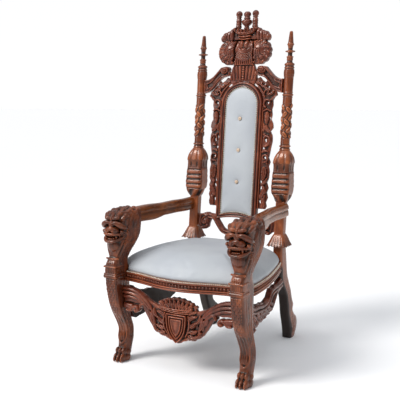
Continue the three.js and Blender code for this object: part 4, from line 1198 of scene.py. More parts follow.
def makeSeatPad():
    # the edge line is drawn in toward the middle; height over the rail is crown (1 - share^4)^(1/2.2)
    line = seatLine()
    middle = np.array(pads["seatMiddle"])
    share = 1 - np.linspace(0, 1, 46) ** 1.5 * 0.985
    crown = (pads["seatTop"] - pads["limit"] * 0.5 - pads["seatFoot"]) * (1 - share ** 4) ** (1 / 2.2)
    tuck = 1 - 0.012 * np.exp(-((crown - 0.0) / 0.008) ** 2) + 0.006 * np.exp(-((crown - 0.035) / 0.03) ** 2)
    rings = [np.concatenate([middle + (line - middle) * (s * k), np.full((len(line), 1), pads["seatFoot"] + h)], axis=1)
             for s, h, k in zip(share, crown, tuck)]
    under = [np.concatenate([middle + (line - middle) * s, np.full((len(line), 1), pads["seatFoot"])], axis=1)
             for s in (0.05, 0.5, 0.93)]
    points, faces = shell(np.stack(under + rings))
    piece = makePiece("seatPad", points, faces)
    held = np.zeros(len(points), bool)
    held[:len(line) * 5] = True
    plump(piece, held | (points[:, 2] < pads["seatFoot"] + 0.003), pads["limit"])
    dress(piece, greyLeather, "upholstery", "seat_pad")
    print("seat pad made")


def makeBackPad():
    # rows run up the panel; each row goes across the crowned face and back along the flat rear
    grow = -0.0018
    low, top = backPanel["low"] - grow, backPanel["arch"] + backPanel["half"] + grow
    z = low + (top - low) * (1 - np.cos(np.linspace(0.0, np.pi, 120))) / 2
    reach = backPanel["half"] + grow
    half = np.where(z > backPanel["arch"], np.sqrt(np.clip(reach**2 - (z - backPanel["arch"]) ** 2, 1e-6, None)), reach)
    across = np.sin(np.linspace(-np.pi / 2, np.pi / 2, 44))
    foot = backPanel["rise"] * (1 - across ** 2)[None, :] * np.exp(-((z - low) / 0.05) ** 2)[:, None]
    near = np.minimum((half[:, None] * (1 - np.abs(across)[None, :])), (z - low)[:, None] + 0.0)
    near = np.minimum(near, np.where(z[:, None] > backPanel["arch"],
                                     reach - np.hypot(half[:, None] * across, z[:, None] - backPanel["arch"]), 1))
    rise = (1 - np.exp(-np.clip(near, 0, None) / 0.016)) * 0.0115 + 0.0035 * np.clip(near / 0.09, 0, 1)
    tuftGap = 0.0
    for at in pads["buttons"]:
        away = np.hypot(half[:, None] * across[None, :], z[:, None] + foot - at)
        tuftGap = tuftGap + 0.0058 * np.exp(-(away / 0.0135) ** 2) + 0.0018 * np.exp(-(away / 0.034) ** 2)
    face = -(0.0095 + rise - tuftGap)
    x = half[:, None] * across[None, :]
    front = np.stack([x, face, z[:, None] + foot], axis=-1)
    rear = np.stack([x, 0.010 + 0 * x, z[:, None] + foot], axis=-1)[:, ::-1]
    grid = np.concatenate([front, rear], axis=1)
    points, faces = shell(grid)
    tight = np.concatenate([near, 0 * near], axis=1).ravel() < 0.006
    # painted shade: darker round each button's dent and along the edges where the pad tucks into the frame
    sunk = np.append(np.concatenate([np.clip(tuftGap / 0.009 - 0.25, 0, 1) + np.exp(-near / 0.0035) * 0.5, 0 * near], axis=1).ravel(), [0, 0])
    piece = makePiece("backPad", leaned(points), faces, {"hollow": sunk})
    nearButton = np.append(np.concatenate([tuftGap > 0.003, near < -1], axis=1).ravel(), [True, True])
    plump(piece, np.append(tight, [True, True]) | nearButton, 0.003)
    dress(piece, greyLeather, "upholstery", "back_pad")
    for number, at in enumerate(pads["buttons"], 1):
        t = np.linspace(0, 1, 9)[:, None]
        turn = np.linspace(0, 2 * np.pi, 28, endpoint=False)[None, :]
        radius = pads["buttonRadius"] * np.sin(np.pi / 2 * np.clip(t * 1.15, 0, 1)) * (1 - 0.25 * smoothStep(0.85, 1, t))
        fold = 1 + 0.012 * np.cos(turn * 9) * t ** 2
        y = -0.0275 + 0.0062 * t ** 2.4
        grid = np.stack([radius * fold * np.cos(turn), y + 0 * turn, at + radius * fold * np.sin(turn)], axis=-1)
        points, faces = shell(grid[1:])
        dress(makePiece(f"backButton{number}", leaned(points), faces), tanLeather, "button", f"back_button_{number}")
    print("back pad made")


makeSeatPad()
makeBackPad()


def makeNails():
    # domed heads along the seat's edge on the rails, and round the back pad inside its frame
    seat, back = [], []
    for which, sides in (("front", (1,)), ("side", (1, -1))):
        line, inward = railLine(which)
        where = alongLine(line, 0.0098)
        for at, inn in zip(readAt(line, where), readAt(inward, where)):
            for side in sides:
                spot = at + inn * 0.0050
                seat.append(bump((side * spot[0], spot[1], 0.4685), (0.0041, 0.0041, 0.0034),
                                 (-side * inn[0], -inn[1], 0.55), 8, 2))
    line = archLine(-0.0045, 60)
    line = np.vstack([line, line[:1]])
    where = alongLine(line, 0.0112)
    for x, z in readAt(line, where):
        back.append(bump((x, lean(z) - 0.0135, z), (0.0040, 0.0040, 0.0040), (0, -1, 0.1), 8, 2))
    for name, shells in (("seatNails", seat), ("backNails", back)):
        points, faces = gather(shells)
        dress(makePiece(name, points, faces), creamNail, "wood")
    print("nails set", len(seat) + len(back))


makeNails()

# flat carving: each board is drawn from ridges, domes, leaves and scrolls, then cut out of a block


def bothSides(call, points, *rest, **more):
    # the same stroke on each side of the middle line
    for side in (1, -1):
        call([(side * u, v) for u, v in points], *rest, **more)


def bothDomes(board, at, radii, height, turn=0.0, **more):
    for side in (1, -1):
        board.dome((side * at[0], at[1]), radii, height, side * turn, **more)


def fromBoard(name, node, board, face, back, material, bullnose=0.004, leanBack=True, mirror=False, sideways=None, keep=0.5):
    points, faces, look = board.carved(face, back, bullnose).surface()
    if sideways:
        taper, start = sideways   # a board stood sideways: across becomes depth, its face looks outward
        # painted shade on the inner face of a board stood sideways, which looks in under the seat
        look["hollow"] = np.maximum(look["hollow"], 0.5 * smoothStep(back - 0.005, back - 0.001, points[:, 1]))
        points = np.stack([-points[:, 1] - taper * (points[:, 0] - start), points[:, 0], points[:, 2]], axis=1)
    elif leanBack:
        points = leaned(points)
    faces = turnOut(points, faces)
    if mirror:
        points, faces = flipSide(points, faces)
    return dress(thinned(makePiece(name, points, faces, look), keep), material, "wood", node)


# crest: fluted fan, drapery, two rounded masses of leaves with a shell between them, crown rim and lobes

crest = {"face": -0.010, "back": 0.014, "cell": 0.0018, "keep": 0.60, "mass": (0.087, 1.577), "massRadius": 0.070,
         "fanApex": 1.10, "flutes": 24}


def turnedShell(profile, at, around=28, count=None):
    # a profile of (radius, height) points turned about an upright line through at
    profile = np.array(profile, float)
    turn = np.linspace(0, 2 * np.pi, around, endpoint=False)[None, :]
    r, z = profile[:, :1], profile[:, 1:]
    return shell(np.stack([at[0] + r * np.cos(turn), at[1] + r * np.sin(turn), z + 0 * turn], axis=-1))


def makeCrest():
    board = Board((-0.166, 1.394), (0.166, 1.716), crest["cell"])
    u, v = board.u[:, None], board.v[None, :]
    mx, mz = crest["mass"]
    board.outline(mirroredAbout([(0, 1.4192), (0.030, 1.4158), (0.048, 1.4092), (0.064, 1.4005), (0.072, 1.412), (0.080, 1.4310), (0.072, 1.480), (0.060, 1.506),
                                 (0.056, 1.52), (0.060, 1.60), (0.070, 1.66), (0.062, 1.688), (0, 1.680)]))
    for side in (1, -1):
        angle = np.arctan2(v - mz, side * u - mx)
        rim = crest["massRadius"] - 0.0045 * (1 - np.abs(np.sin(angle * 6.5 + 0.6))) ** 1.2
        radius = np.hypot(side * u - mx, v - mz)
        board.edge = np.minimum(board.edge, radius - rim)
        board.raiseTo(0.010 * np.sqrt(np.clip(1 - (radius / rim) ** 2, 0, 1)) + 0.004, radius < rim)
    # flutes of the fan, spreading from an apex below, and the beaded strip down its middle
    spread = np.arctan2(u, v - crest["fanApex"])
    inFan = smoothStep(1.424, 1.430, v) * (1 - smoothStep(1.499, 1.506, v)) * (np.abs(u) < 0.078)
    flute = np.abs(np.cos(spread * crest["flutes"] * 2.45)) ** 0.7
    board.raiseTo(0.0070 * flute * inFan * (np.abs(u) > 0.010))
    for i in range(6):
        board.dome((0, 1.433 + 0.0125 * i), (0.0085, 0.0068), 0.0095)
    board.ridge([(-0.066, 1.507), (0, 1.510), (0.066, 1.507)], (0.004, 0.0045, 0.004), (0.008, 0.010, 0.008))
    # upright folds above the fan, then thin sagging swags cut into a plain swell
    folds = np.abs(np.sin((u + 0.004) * np.pi / 0.0115)) ** 0.8
    board.raiseTo(0.004 + 0.0085 * folds, (np.abs(u) < 0.058) & (v > 1.509) & (v < 1.546 - 0.010 * (u / 0.05) ** 2))
    board.dome((0, 1.578), (0.060, 0.058), 0.0185)
    for i in range(4):
        wide = 0.052 + 0.001 * i
        board.groove([(-wide, 1.5620 + 0.0085 * i), (-wide * 0.5, 1.5475 + 0.0080 * i), (0, 1.5430 + 0.0080 * i),
                      (wide * 0.5, 1.5475 + 0.0080 * i), (wide, 1.5620 + 0.0085 * i)], 0.0015, 0.0045)
    # leaves of the round masses: they fan out from the drapery and curl over at the rim
    for i, a in enumerate(np.linspace(-1.95, 1.75, 9)):
        c, s = math.cos(a), math.sin(a)
        bothSides(board.leaf, [(mx - 0.016 + 0.014 * c, mz + 0.014 * s), (mx - 0.006 + 0.042 * math.cos(a + 0.16), mz + 0.042 * math.sin(a + 0.16)),
                               (mx + 0.068 * c, mz + 0.068 * s)], 0.0165, 0.0145 + 0.002 * (i % 2), lobes=4, base=0.001)
        bothDomes(board, (mx + 0.060 * c, mz + 0.060 * s), (0.0095, 0.0075), 0.0175, turn=a)
    bothDomes(board, (mx - 0.004, mz + 0.008), (0.0430, 0.0400), 0.0240, turn=0.35)
    bothDomes(board, (mx + 0.018, mz - 0.030), (0.0190, 0.0150), 0.0235, turn=-0.6)
    bothDomes(board, (mx - 0.022, mz - 0.034), (0.0170, 0.0130), 0.0225, turn=-0.4)
    for side in (1, -1):
        for i in range(3):
            board.groove([(side * (mx - 0.026 + 0.009 * i), mz + 0.024 - 0.004 * i), (side * (mx - 0.010 + 0.010 * i), mz + 0.006),
                          (side * (mx - 0.014 + 0.014 * i), mz - 0.014)], 0.0016, 0.0045)
        board.groove([(side * 0.020, 1.642), (side * 0.060, 1.6385), (side * 0.118, 1.6430), (side * 0.150, 1.632)], 0.0036, 0.017)
        board.groove([(side * 0.060, 1.53), (side * 0.054, 1.56), (side * 0.056, 1.60), (side * 0.048, 1.632)], 0.0042, 0.017)
    # tulip between the masses: two tall petals over a wavy line
    bothDomes(board, (0.0135, 1.6140), (0.0150, 0.0265), 0.0250, turn=-0.14)
    board.dome((0, 1.5880), (0.0260, 0.0165), 0.0240)
    for side in (1, -1):
        board.groove([(side * 0.030, 1.600), (side * 0.018, 1.5930), (side * 0.007, 1.6000), (0, 1.5950)], 0.0014, 0.0040)
        board.groove([(side * 0.0130, 1.636), (side * 0.0150, 1.618), (side * 0.0120, 1.604)], 0.0010, 0.0026)
    # lobes over the masses, with small upright tips beside the crown
    for x, z, a, b, h in ((0.096, 1.664, 0.0240, 0.0290, 0.0150), (0.118, 1.6600, 0.0200, 0.0260, 0.0150),
                          (0.080, 1.670, 0.0150, 0.0340, 0.0175), (0.134, 1.6520, 0.0120, 0.0190, 0.0130)):
        for side in (1, -1):
            board.dome((side * x, z), (a, b), h, solid=True)
    for x in (0.088, 0.105, 0.116):
        bothSides(board.groove, [(x, 1.646), (x + 0.002, 1.664), (x - 0.001, 1.682)], 0.0016, 0.005)
    # crown rim: two sweeping bands, leaf points over them and an oval ring under the middle
    board.ridge([(-0.064, 1.700), (-0.042, 1.682), (0, 1.6755), (0.042, 1.682), (0.064, 1.700)], (0.0100, 0.0115, 0.0100),
                (0.020, 0.026, 0.020), solid=True)
    board.groove([(-0.060, 1.698), (-0.040, 1.681), (0, 1.6745), (0.040, 1.681), (0.060, 1.698)], 0.0019, 0.006)
    for x in (-0.056, -0.037, -0.0185, 0.0, 0.0185, 0.037, 0.056):
        board.leaf([(x, 1.672 + 4.2 * x * x), (x * 1.02, 1.684 + 4.2 * x * x), (x * 1.05, 1.700 + 3.2 * x * x)], 0.0088, 0.0225,
                   lobes=2, solid=True, base=0.004)
    board.ridge([(-0.034, 1.6615), (0, 1.6575), (0.034, 1.6615)], (0.0055, 0.0085, 0.0055), (0.018, 0.024, 0.018))
    board.ridge([(-0.030, 1.6475), (0, 1.6440), (0.030, 1.6475)], (0.004, 0.0055, 0.004), (0.014, 0.019, 0.014))
    for side in (1, -1):
        board.hole((side * 0.0435, 1.6670), (0.0050, 0.0036), side * 0.4)
    points, faces, look = board.carved(crest["face"], crest["back"]).surface()
    shells = [(points, turnOut(points, faces))]
    # ringed uprights with ball tops, and the urn between them
    t = np.linspace(0, np.pi, 13)
    ball = [(0.0180 * math.sin(a), 1.7815 - 0.0180 * math.cos(a)) for a in t[3:-1]]
    stem = [(0.0155, 1.684), (0.0160, 1.700), (0.0140, 1.703), (0.0140, 1.708), (0.0165, 1.711), (0.0165, 1.716),
            (0.0142, 1.719), (0.0146, 1.727), (0.0163, 1.730), (0.0143, 1.733), (0.0146, 1.741), (0.0163, 1.744),
            (0.0143, 1.747), (0.0143, 1.755), (0.0115, 1.758), (0.0118, 1.762), (0.0160, 1.7645), (0.0125, 1.767)]
    for side in (1, -1):
        shells.append(turnedShell(stem + ball, (side * 0.049, 0.001)))
        shells.append(bump((side * 0.049, -0.0155, 1.782), (0.0055, 0.0055, 0.005), (0, -1, 0), 12, 3))
    shells.append(turnedShell([(0.010, 1.680), (0.012, 1.700), (0.017, 1.706), (0.0115, 1.711), (0.015, 1.718),
                               (0.0255, 1.727), (0.0295, 1.737), (0.0285, 1.745), (0.0190, 1.7505), (0.0150, 1.7535),
                               (0.0185, 1.757), (0.0185, 1.7605), (0.0140, 1.7635), (0.0150, 1.767), (0.0185, 1.7715),
                               (0.0200, 1.780), (0.0180, 1.787), (0.0110, 1.7935), (0.003, 1.7945)], (0, 0.001)))
    turnedPoints = sum(len(p) for p, _ in shells[1:])
    points, faces = gather(shells)
    for key, level in (("hollow", 0.05), ("edge", 0.15)):
        look[key] = np.concatenate([look[key], np.full(turnedPoints, level)])
    dress(thinned(makePiece("crest", leaned(points), faces, look), crest["keep"]), carvedWood, "wood", "crest")
    print("crest carved", len(faces) * 2)


makeCrest()

# top rails: a swept plate with a long sunk panel, ending in a volute beside the fan

topRail = {"face": -0.016, "back": 0.014, "volute": (0.110, 1.481)}


def makeTopRails():
    board = Board((0.072, 1.340), (0.238, 1.512), 0.0018)
    board.outline(np.concatenate([
        curveThrough([(0.2357, 1.4310), (0.210, 1.4325), (0.186, 1.4450), (0.160, 1.4700), (0.136, 1.4960)], 16),
        [(0.118, 1.500), (0.0805, 1.470), (0.0805, 1.452)],
        curveThrough([(0.100, 1.4470), (0.126, 1.4400), (0.152, 1.4160), (0.180, 1.3830), (0.205, 1.3640), (0.2357, 1.3560)], 16)]))
    board.height[:] = 0.0015
    spine = [(0.218, 1.3950), (0.196, 1.4030), (0.172, 1.4240), (0.148, 1.4500), (0.128, 1.4680)]
    share, side = board.follow(spine)
    sunk = smoothStep(0.0085, 0.0120, np.abs(side) + 0.012 * (np.clip(0.04 - share, 0, 1) + np.clip(share - 0.98, 0, 1)) * 40)
    board.height += -0.0075 * (1 - sunk) + 0.0022 * np.exp(-((np.abs(side) - 0.0145) / 0.0028) ** 2)
    board.height += 0.0030 * smoothStep(-0.0105, -0.0050, board.edge) - 0.0030 * np.exp(-((board.edge + 0.0125) / 0.0016) ** 2)
    vx, vz = topRail["volute"]
    board.dome((vx, vz), (0.0270, 0.0195), 0.018, turn=-0.3, solid=True)
    curl = spiralLine((0, 0), 0.0225, 0.004, 2.9, -6.2, 34) * (1.15, 0.82) + (vx, vz)
    board.groove(curl, 0.0016, 0.0075, count=40)
    board.dome((vx, vz), (0.0065, 0.0055), 0.0215)
    board.edge = np.maximum(np.maximum(board.edge, 0.0803 - board.u[:, None]), board.u[:, None] - 0.2357)
    for name, node, mirror in (("topRailRight", "top_rail_right", False), ("topRailLeft", "top_rail_left", True)):
        fromBoard(name, node, board, topRail["face"], topRail["back"], carvedWood, mirror=mirror, keep=0.42)


makeTopRails()

# side carving: a pierced strip of scrolls, husks and leaves, widening into an ear and a spandrel above

sideCarving = {"inner": 0.1236, "face": -0.004, "back": 0.010, "middle": 0.152}


def makeSideCarving():
    board = Board((0.060, 0.730), (0.208, 1.446), 0.0019)
    inner, mid = sideCarving["inner"], sideCarving["middle"]
    rim = [(0.168, 0.738), (0.176, 0.752), (0.170, 0.775), (0.180, 0.800), (0.173, 0.828), (0.181, 0.852),
           (0.171, 0.880), (0.180, 0.905), (0.182, 0.940), (0.176, 0.968), (0.184, 0.990), (0.174, 1.012),
           (0.178, 1.036), (0.183, 1.068), (0.189, 1.100), (0.187, 1.130), (0.176, 1.152), (0.190, 1.172),
           (0.186, 1.196), (0.176, 1.214), (0.180, 1.240), (0.176, 1.268), (0.182, 1.290), (0.180, 1.316),
           (0.190, 1.334), (0.204, 1.344), (0.199, 1.362), (0.184, 1.374), (0.172, 1.388), (0.156, 1.402),
           (0.142, 1.424), (0.130, 1.414), (0.112, 1.426), (0.098, 1.442), (0.084, 1.436), (0.066, 1.416), (0.078, 1.404), (0.092, 1.3905)]
    arch = [(math.cos(a) * 0.1236, 1.295 + math.sin(a) * 0.1236) for a in np.linspace(0.90, 0.05, 12)]
    board.outline(rim + arch + [(inner, 1.29), (inner, 0.738)])
    board.height[:] = -0.0015
    leaf, ridge = board.leaf, board.ridge
    # frame-side stem and the rhythm of scrolls from the foot up
    ridge([(inner + 0.004, 0.742), (inner + 0.0035, 1.0), (inner + 0.004, 1.30)], (0.0030,), (0.0080,))
    leaf([(0.150, 0.742), (0.158, 0.765), (0.148, 0.800)], 0.0170, 0.0125, lobes=3)
    leaf([(0.168, 0.758), (0.160, 0.785), (0.166, 0.815)], 0.0110, 0.0105, lobes=2)
    leaf([(0.138, 0.795), (0.150, 0.820), (0.162, 0.856)], 0.0160, 0.0130, lobes=4)
    leaf([(0.170, 0.822), (0.158, 0.846), (0.146, 0.872)], 0.0120, 0.0115, lobes=3)
    leaf([(0.142, 0.872), (0.162, 0.884), (0.174, 0.906)], 0.0125, 0.0125, lobes=3)
    leaf([(0.152, 0.965), (0.154, 0.930), (0.150, 0.892)], 0.0200, 0.0145, lobes=4)
    for i in range(4):
        board.groove([(0.144 + 0.006 * i, 0.958), (0.143 + 0.0055 * i, 0.925), (0.148 + 0.002 * i, 0.900)], 0.0012, 0.004)
    ridge(spiralLine((0.152, 1.012), 0.0235, 0.0080, -1.4, 4.4, 30), (0.0062, 0.0050, 0.0040), (0.0120, 0.0110, 0.0085), count=30)
    leaf([(0.170, 0.978), (0.160, 0.990), (0.140, 0.986)], 0.0090, 0.0110, lobes=2)
    leaf([(0.134, 1.040), (0.150, 1.050), (0.172, 1.046)], 0.0095, 0.0125, lobes=3)
    ridge(spiralLine((0.155, 1.108), 0.0335, 0.0110, -1.7, 3.6, 34) * (0.86, 1.0) + (0.021, 0), (0.0070, 0.0065, 0.0045),
          (0.0130, 0.0120, 0.0085), count=36)
    leaf([(0.148, 1.072), (0.166, 1.092), (0.160, 1.120)], 0.0100, 0.0105, lobes=3)
    leaf([(0.138, 1.140), (0.152, 1.128), (0.166, 1.134)], 0.0080, 0.0115, lobes=2)
    leaf([(0.182, 1.150), (0.160, 1.160), (0.150, 1.190)], 0.0125, 0.0130, lobes=3)
    leaf([(0.136, 1.152), (0.140, 1.172), (0.134, 1.196)], 0.0100, 0.0115, lobes=2)
    leaf([(0.154, 1.258), (0.154, 1.228), (0.152, 1.192)], 0.0170, 0.0150, lobes=3)
    ridge([(0.134, 1.262), (0.152, 1.270), (0.172, 1.262)], (0.0050, 0.0065, 0.0050), (0.010, 0.0135, 0.010))
    ridge(spiralLine((0.154, 1.304), 0.0260, 0.0080, 4.2, -1.2, 32), (0.0065, 0.0058, 0.0040), (0.0130, 0.0115, 0.009), count=32)
    leaf([(0.166, 1.318), (0.186, 1.330), (0.202, 1.346)], 0.0110, 0.0125, lobes=2)
    leaf([(0.186, 1.364), (0.168, 1.352), (0.146, 1.348)], 0.0100, 0.0120, lobes=3)
    # spandrel over the arch: a bent spray of leaves with a small scroll in its corner
    ridge([(0.134, 1.338), (0.118, 1.366), (0.094, 1.394), (0.074, 1.408)], (0.0045, 0.0050, 0.0030), (0.0110, 0.0110, 0.008))
    leaf([(0.166, 1.374), (0.146, 1.378), (0.126, 1.392)], 0.0120, 0.0130, lobes=3)
    leaf([(0.140, 1.398), (0.122, 1.392), (0.106, 1.404)], 0.0100, 0.0125, lobes=3)
    leaf([(0.116, 1.410), (0.100, 1.408), (0.082, 1.418)], 0.0085, 0.0115, lobes=3)
    ridge(spiralLine((0.146, 1.360), 0.0150, 0.0045, 3.4, -1.8, 22), (0.0042, 0.0030), (0.0125, 0.009))
    for at, radii, turn in [((0.137, 0.776), (0.0050, 0.0085), 0.2), ((0.139, 0.852), (0.0045, 0.0100), -0.3),
                            ((0.136, 0.882), (0.0040, 0.0090), 0.2), ((0.152, 1.012), (0.0052, 0.0060), 0.0),
                            ((0.140, 1.062), (0.0050, 0.0060), 0.5), ((0.152, 1.104), (0.0058, 0.0085), 0.3),
                            ((0.137, 1.118), (0.0035, 0.0080), 0.0), ((0.153, 1.303), (0.0050, 0.0050), 0.0),
                            ((0.136, 1.230), (0.0032, 0.0110), 0.0), ((0.171, 1.222), (0.0030, 0.0090), 0.2),
                            ((0.170, 1.357), (0.0050, 0.0035), 0.5), ((0.152, 1.388), (0.0050, 0.0030), 0.6),
                            ((0.128, 1.402), (0.0050, 0.0030), 0.4)]:
        board.hole(at, radii, turn)
    for name, node, mirror in (("sideCarvingRight", "side_carving_right", False), ("sideCarvingLeft", "side_carving_left", True)):
        fromBoard(name, node, board, sideCarving["face"], sideCarving["back"], carvedWood, bullnose=0.0025, mirror=mirror)
    print("side carving cut")


makeSideCarving()

# lower back rail: a sagging pair of straps between two carved blocks

lowerRail = {"face": -0.010, "back": 0.011}


def makeLowerRail():
    board = Board((-0.238, 0.572), (0.238, 0.706), 0.0022)
    for side in (1, -1):
        board.outline([(side * x, z) for x, z in [(0.2357, 0.626), (0.2357, 0.686), (0.210, 0.690), (0.188, 0.699), (0.166, 0.700),
                                                  (0.152, 0.686), (0.150, 0.664), (0.160, 0.640), (0.163, 0.618),
                                                  (0.180, 0.606), (0.202, 0.603), (0.216, 0.616)]])
        board.dome((side * 0.186, 0.652), (0.0250, 0.0230), 0.0135)
        board.ridge(spiralLine((side * 0.186, 0.652), 0.0210, 0.004, 1.5, 1.5 - side * 7.5, 40), (0.0038, 0.0024), (0.0185, 0.016), count=40)
        board.leaf([(side * 0.158, 0.694), (side * 0.172, 0.684), (side * 0.202, 0.690)], 0.0115, 0.0135, lobes=3)
        board.leaf([(side * 0.206, 0.610), (side * 0.186, 0.618), (side * 0.168, 0.634)], 0.0125, 0.0125, lobes=3)
        board.ridge([(side * 0.214, 0.686), (side * 0.219, 0.656), (side * 0.214, 0.626)], (0.006, 0.009, 0.006), (0.006, 0.009, 0.006))
    bothSides(board.ridge, [(0.168, 0.682), (0.134, 0.676), (0.104, 0.640), (0.074, 0.606), (0.034, 0.594), (0, 0.592)],
              (0.0145, 0.0165, 0.0165, 0.0150, 0.0130), (0.005, 0.006, 0.006, 0.005), solid=True, count=30)
    for shift in (-0.0080, 0.0075):
        bothSides(board.ridge, [(0.164 - shift * 0.2, 0.682 + shift), (0.134 + shift * 0.5, 0.676 + shift), (0.104 + shift * 0.8, 0.640 + shift * 0.9),
                                (0.074 + shift * 0.5, 0.606 + shift), (0.034, 0.594 + shift), (0, 0.592 + shift)],
                  (0.0052, 0.0060, 0.0055), (0.0115, 0.0125, 0.0115), count=30)
    board.dome((0, 0.594), (0.030, 0.0165), 0.016, solid=True)
    for i in (-2, -1, 0, 1, 2):
        board.leaf([(i * 0.002, 0.580), (i * 0.007, 0.592), (i * 0.0115, 0.606)], 0.0060, 0.0195, lobes=2)
    fromBoard("lowerBackRail", "lower_back_rail", board, lowerRail["face"], lowerRail["back"], carvedWood, keep=0.42)
    print("lower rail carved")


makeLowerRail()

# front apron: a shield under a leafy crown, foliage wings, and scrolled arms reaching to the legs

frontApron = {"face": 0.017, "back": 0.041, "end": 0.3105}


def makeFrontApron():
    board = Board((-0.3125, 0.148), (0.3125, 0.402), 0.0020)
    u, v = board.u[:, None], board.v[None, :]
    half = [(0, 0.151), (0.018, 0.156), (0.034, 0.168), (0.050, 0.173), (0.066, 0.180), (0.082, 0.176), (0.098, 0.179),
            (0.108, 0.190), (0.122, 0.193), (0.134, 0.206), (0.142, 0.210), (0.152, 0.226), (0.163, 0.240), (0.172, 0.256),
            (0.184, 0.274), (0.196, 0.296), (0.208, 0.311), (0.226, 0.320), (0.246, 0.318), (0.264, 0.322), (0.288, 0.322),
            (0.3105, 0.318), (0.3105, 0.396), (0.282, 0.3965), (0.250, 0.392), (0.226, 0.384), (0.204, 0.372), (0.184, 0.360),
            (0.164, 0.346), (0.146, 0.337), (0.128, 0.331), (0.108, 0.324), (0.104, 0.334), (0.110, 0.344), (0.100, 0.352),
            (0.090, 0.349), (0.084, 0.361), (0.070, 0.361), (0.060, 0.370), (0.044, 0.368), (0.030, 0.377), (0.014, 0.374),
            (0, 0.380)]
    board.outline(mirroredAbout(half))
    board.height[:] = 0.0
    leaf, ridge = board.leaf, board.ridge
    # arms: three parallel rolls swinging down from the leg to the wing
    for i, (rise, wide, high) in enumerate(((0.0265, 0.0088, 0.0120), (0.0080, 0.0098, 0.0140), (-0.0115, 0.0088, 0.0115))):
        bothSides(ridge, [(0.312, 0.362 + rise), (0.276, 0.361 + rise), (0.240, 0.354 + rise * 0.95), (0.206, 0.338 + rise * 0.9),
                          (0.176, 0.315 + rise * 0.85 + 0.004), (0.150, 0.288 + rise * 0.8 + 0.004), (0.132, 0.256 + rise * 0.5),
                          (0.122, 0.226 + rise * 0.3)],
                  (wide, wide, wide * 0.95, wide * 0.8, wide * 0.55), (high, high, high, high * 0.8), count=34)
    # curled branch under each arm, with a knobbed end
    for side in (1, -1):
        board.edge = np.minimum(board.edge, np.maximum(np.abs(board.follow([(side * 0.3105, 0.300), (side * 0.288, 0.298), (side * 0.262, 0.296)])[1]) - 0.016,
                                                       np.maximum(side * u - 0.3105, 0.258 - side * u)))
        ridge([(side * 0.312, 0.304), (side * 0.284, 0.302), (side * 0.256, 0.298), (side * 0.234, 0.300)],
              (0.0150, 0.0150, 0.0140, 0.0120), (0.0100, 0.0120, 0.0120, 0.0100), solid=False)
        ridge(spiralLine((side * 0.2390, 0.2860), 0.0180, 0.0045, math.pi / 2 - side * 0.9, math.pi / 2 + side * 4.6, 34),
              (0.0092, 0.0078, 0.0055), (0.0120, 0.0130, 0.0160), solid=True, count=34)
        board.dome((side * 0.238, 0.285), (0.0080, 0.0080), 0.0180, solid=True)
        leaf([(side * 0.296, 0.280), (side * 0.272, 0.284), (side * 0.250, 0.306)], 0.0125, 0.0150, lobes=3, solid=True)
        leaf([(side * 0.214, 0.300), (side * 0.205, 0.318), (side * 0.184, 0.324)], 0.0110, 0.0165, lobes=3, solid=True)
    # wings of foliage beside the shield
    for line, wide, high, lobes in [
            ([(0.064, 0.204), (0.084, 0.196), (0.106, 0.200)], 0.0155, 0.0165, 4),
            ([(0.060, 0.222), (0.086, 0.222), (0.116, 0.234)], 0.0155, 0.0170, 4),
            ([(0.100, 0.196), (0.122, 0.212), (0.134, 0.238)], 0.0145, 0.0150, 4),
            ([(0.064, 0.246), (0.086, 0.252), (0.108, 0.274)], 0.0150, 0.0165, 4),
            ([(0.120, 0.232), (0.140, 0.250), (0.146, 0.280)], 0.0130, 0.0145, 4),
            ([(0.064, 0.276), (0.082, 0.292), (0.112, 0.302)], 0.0140, 0.0160, 4),
            ([(0.108, 0.268), (0.126, 0.288), (0.130, 0.314)], 0.0120, 0.0150, 3),
            ([(0.068, 0.306), (0.088, 0.318), (0.110, 0.322)], 0.0110, 0.0150, 3),
            ([(0.030, 0.168), (0.056, 0.182), (0.084, 0.186)], 0.0110, 0.0130, 3),
            ([(0.146, 0.262), (0.162, 0.282), (0.172, 0.306)], 0.0110, 0.0115, 3)]:
        bothSides(leaf, line, wide, high, lobes=lobes)
    bothSides(ridge, [(0.066, 0.300), (0.072, 0.262), (0.066, 0.226), (0.050, 0.196)], (0.0045, 0.0060, 0.0045), (0.014, 0.018, 0.013))
    # shield: a rim, a sunk band, and nested fillets following the same outline
    shield = np.array([(0, 0.1560), (0.020, 0.1720), (0.038, 0.1930), (0.050, 0.2200), (0.056, 0.2520), (0.058, 0.2900), (0.056, 0.3020), (0, 0.3020)])
    blank = Board((board.u[0], board.v[0]), (board.u[-1], board.v[-1]), board.cell)
    blank.u, blank.v = board.u, board.v
    blank.edge = np.full(board.edge.shape, 0.05)
    inside = -blank.outline(mirroredAbout(shield))
    plate = 0.0150 + 0.0065 * np.exp(-((inside - 0.0040) / 0.0026) ** 2) - 0.0060 * np.exp(-((inside - 0.0110) / 0.0032) ** 2)
    plate += 0.0050 * np.exp(-((inside - 0.0175) / 0.0026) ** 2) - 0.0045 * np.exp(-((inside - 0.0235) / 0.0028) ** 2)
    plate += 0.0060 * np.exp(-((inside - 0.0300) / 0.0028) ** 2) + 0.0050 * smoothStep(0.034, 0.050, inside)
    board.height = np.where(inside > 0, plate * smoothStep(0, 0.0020, inside), board.height)
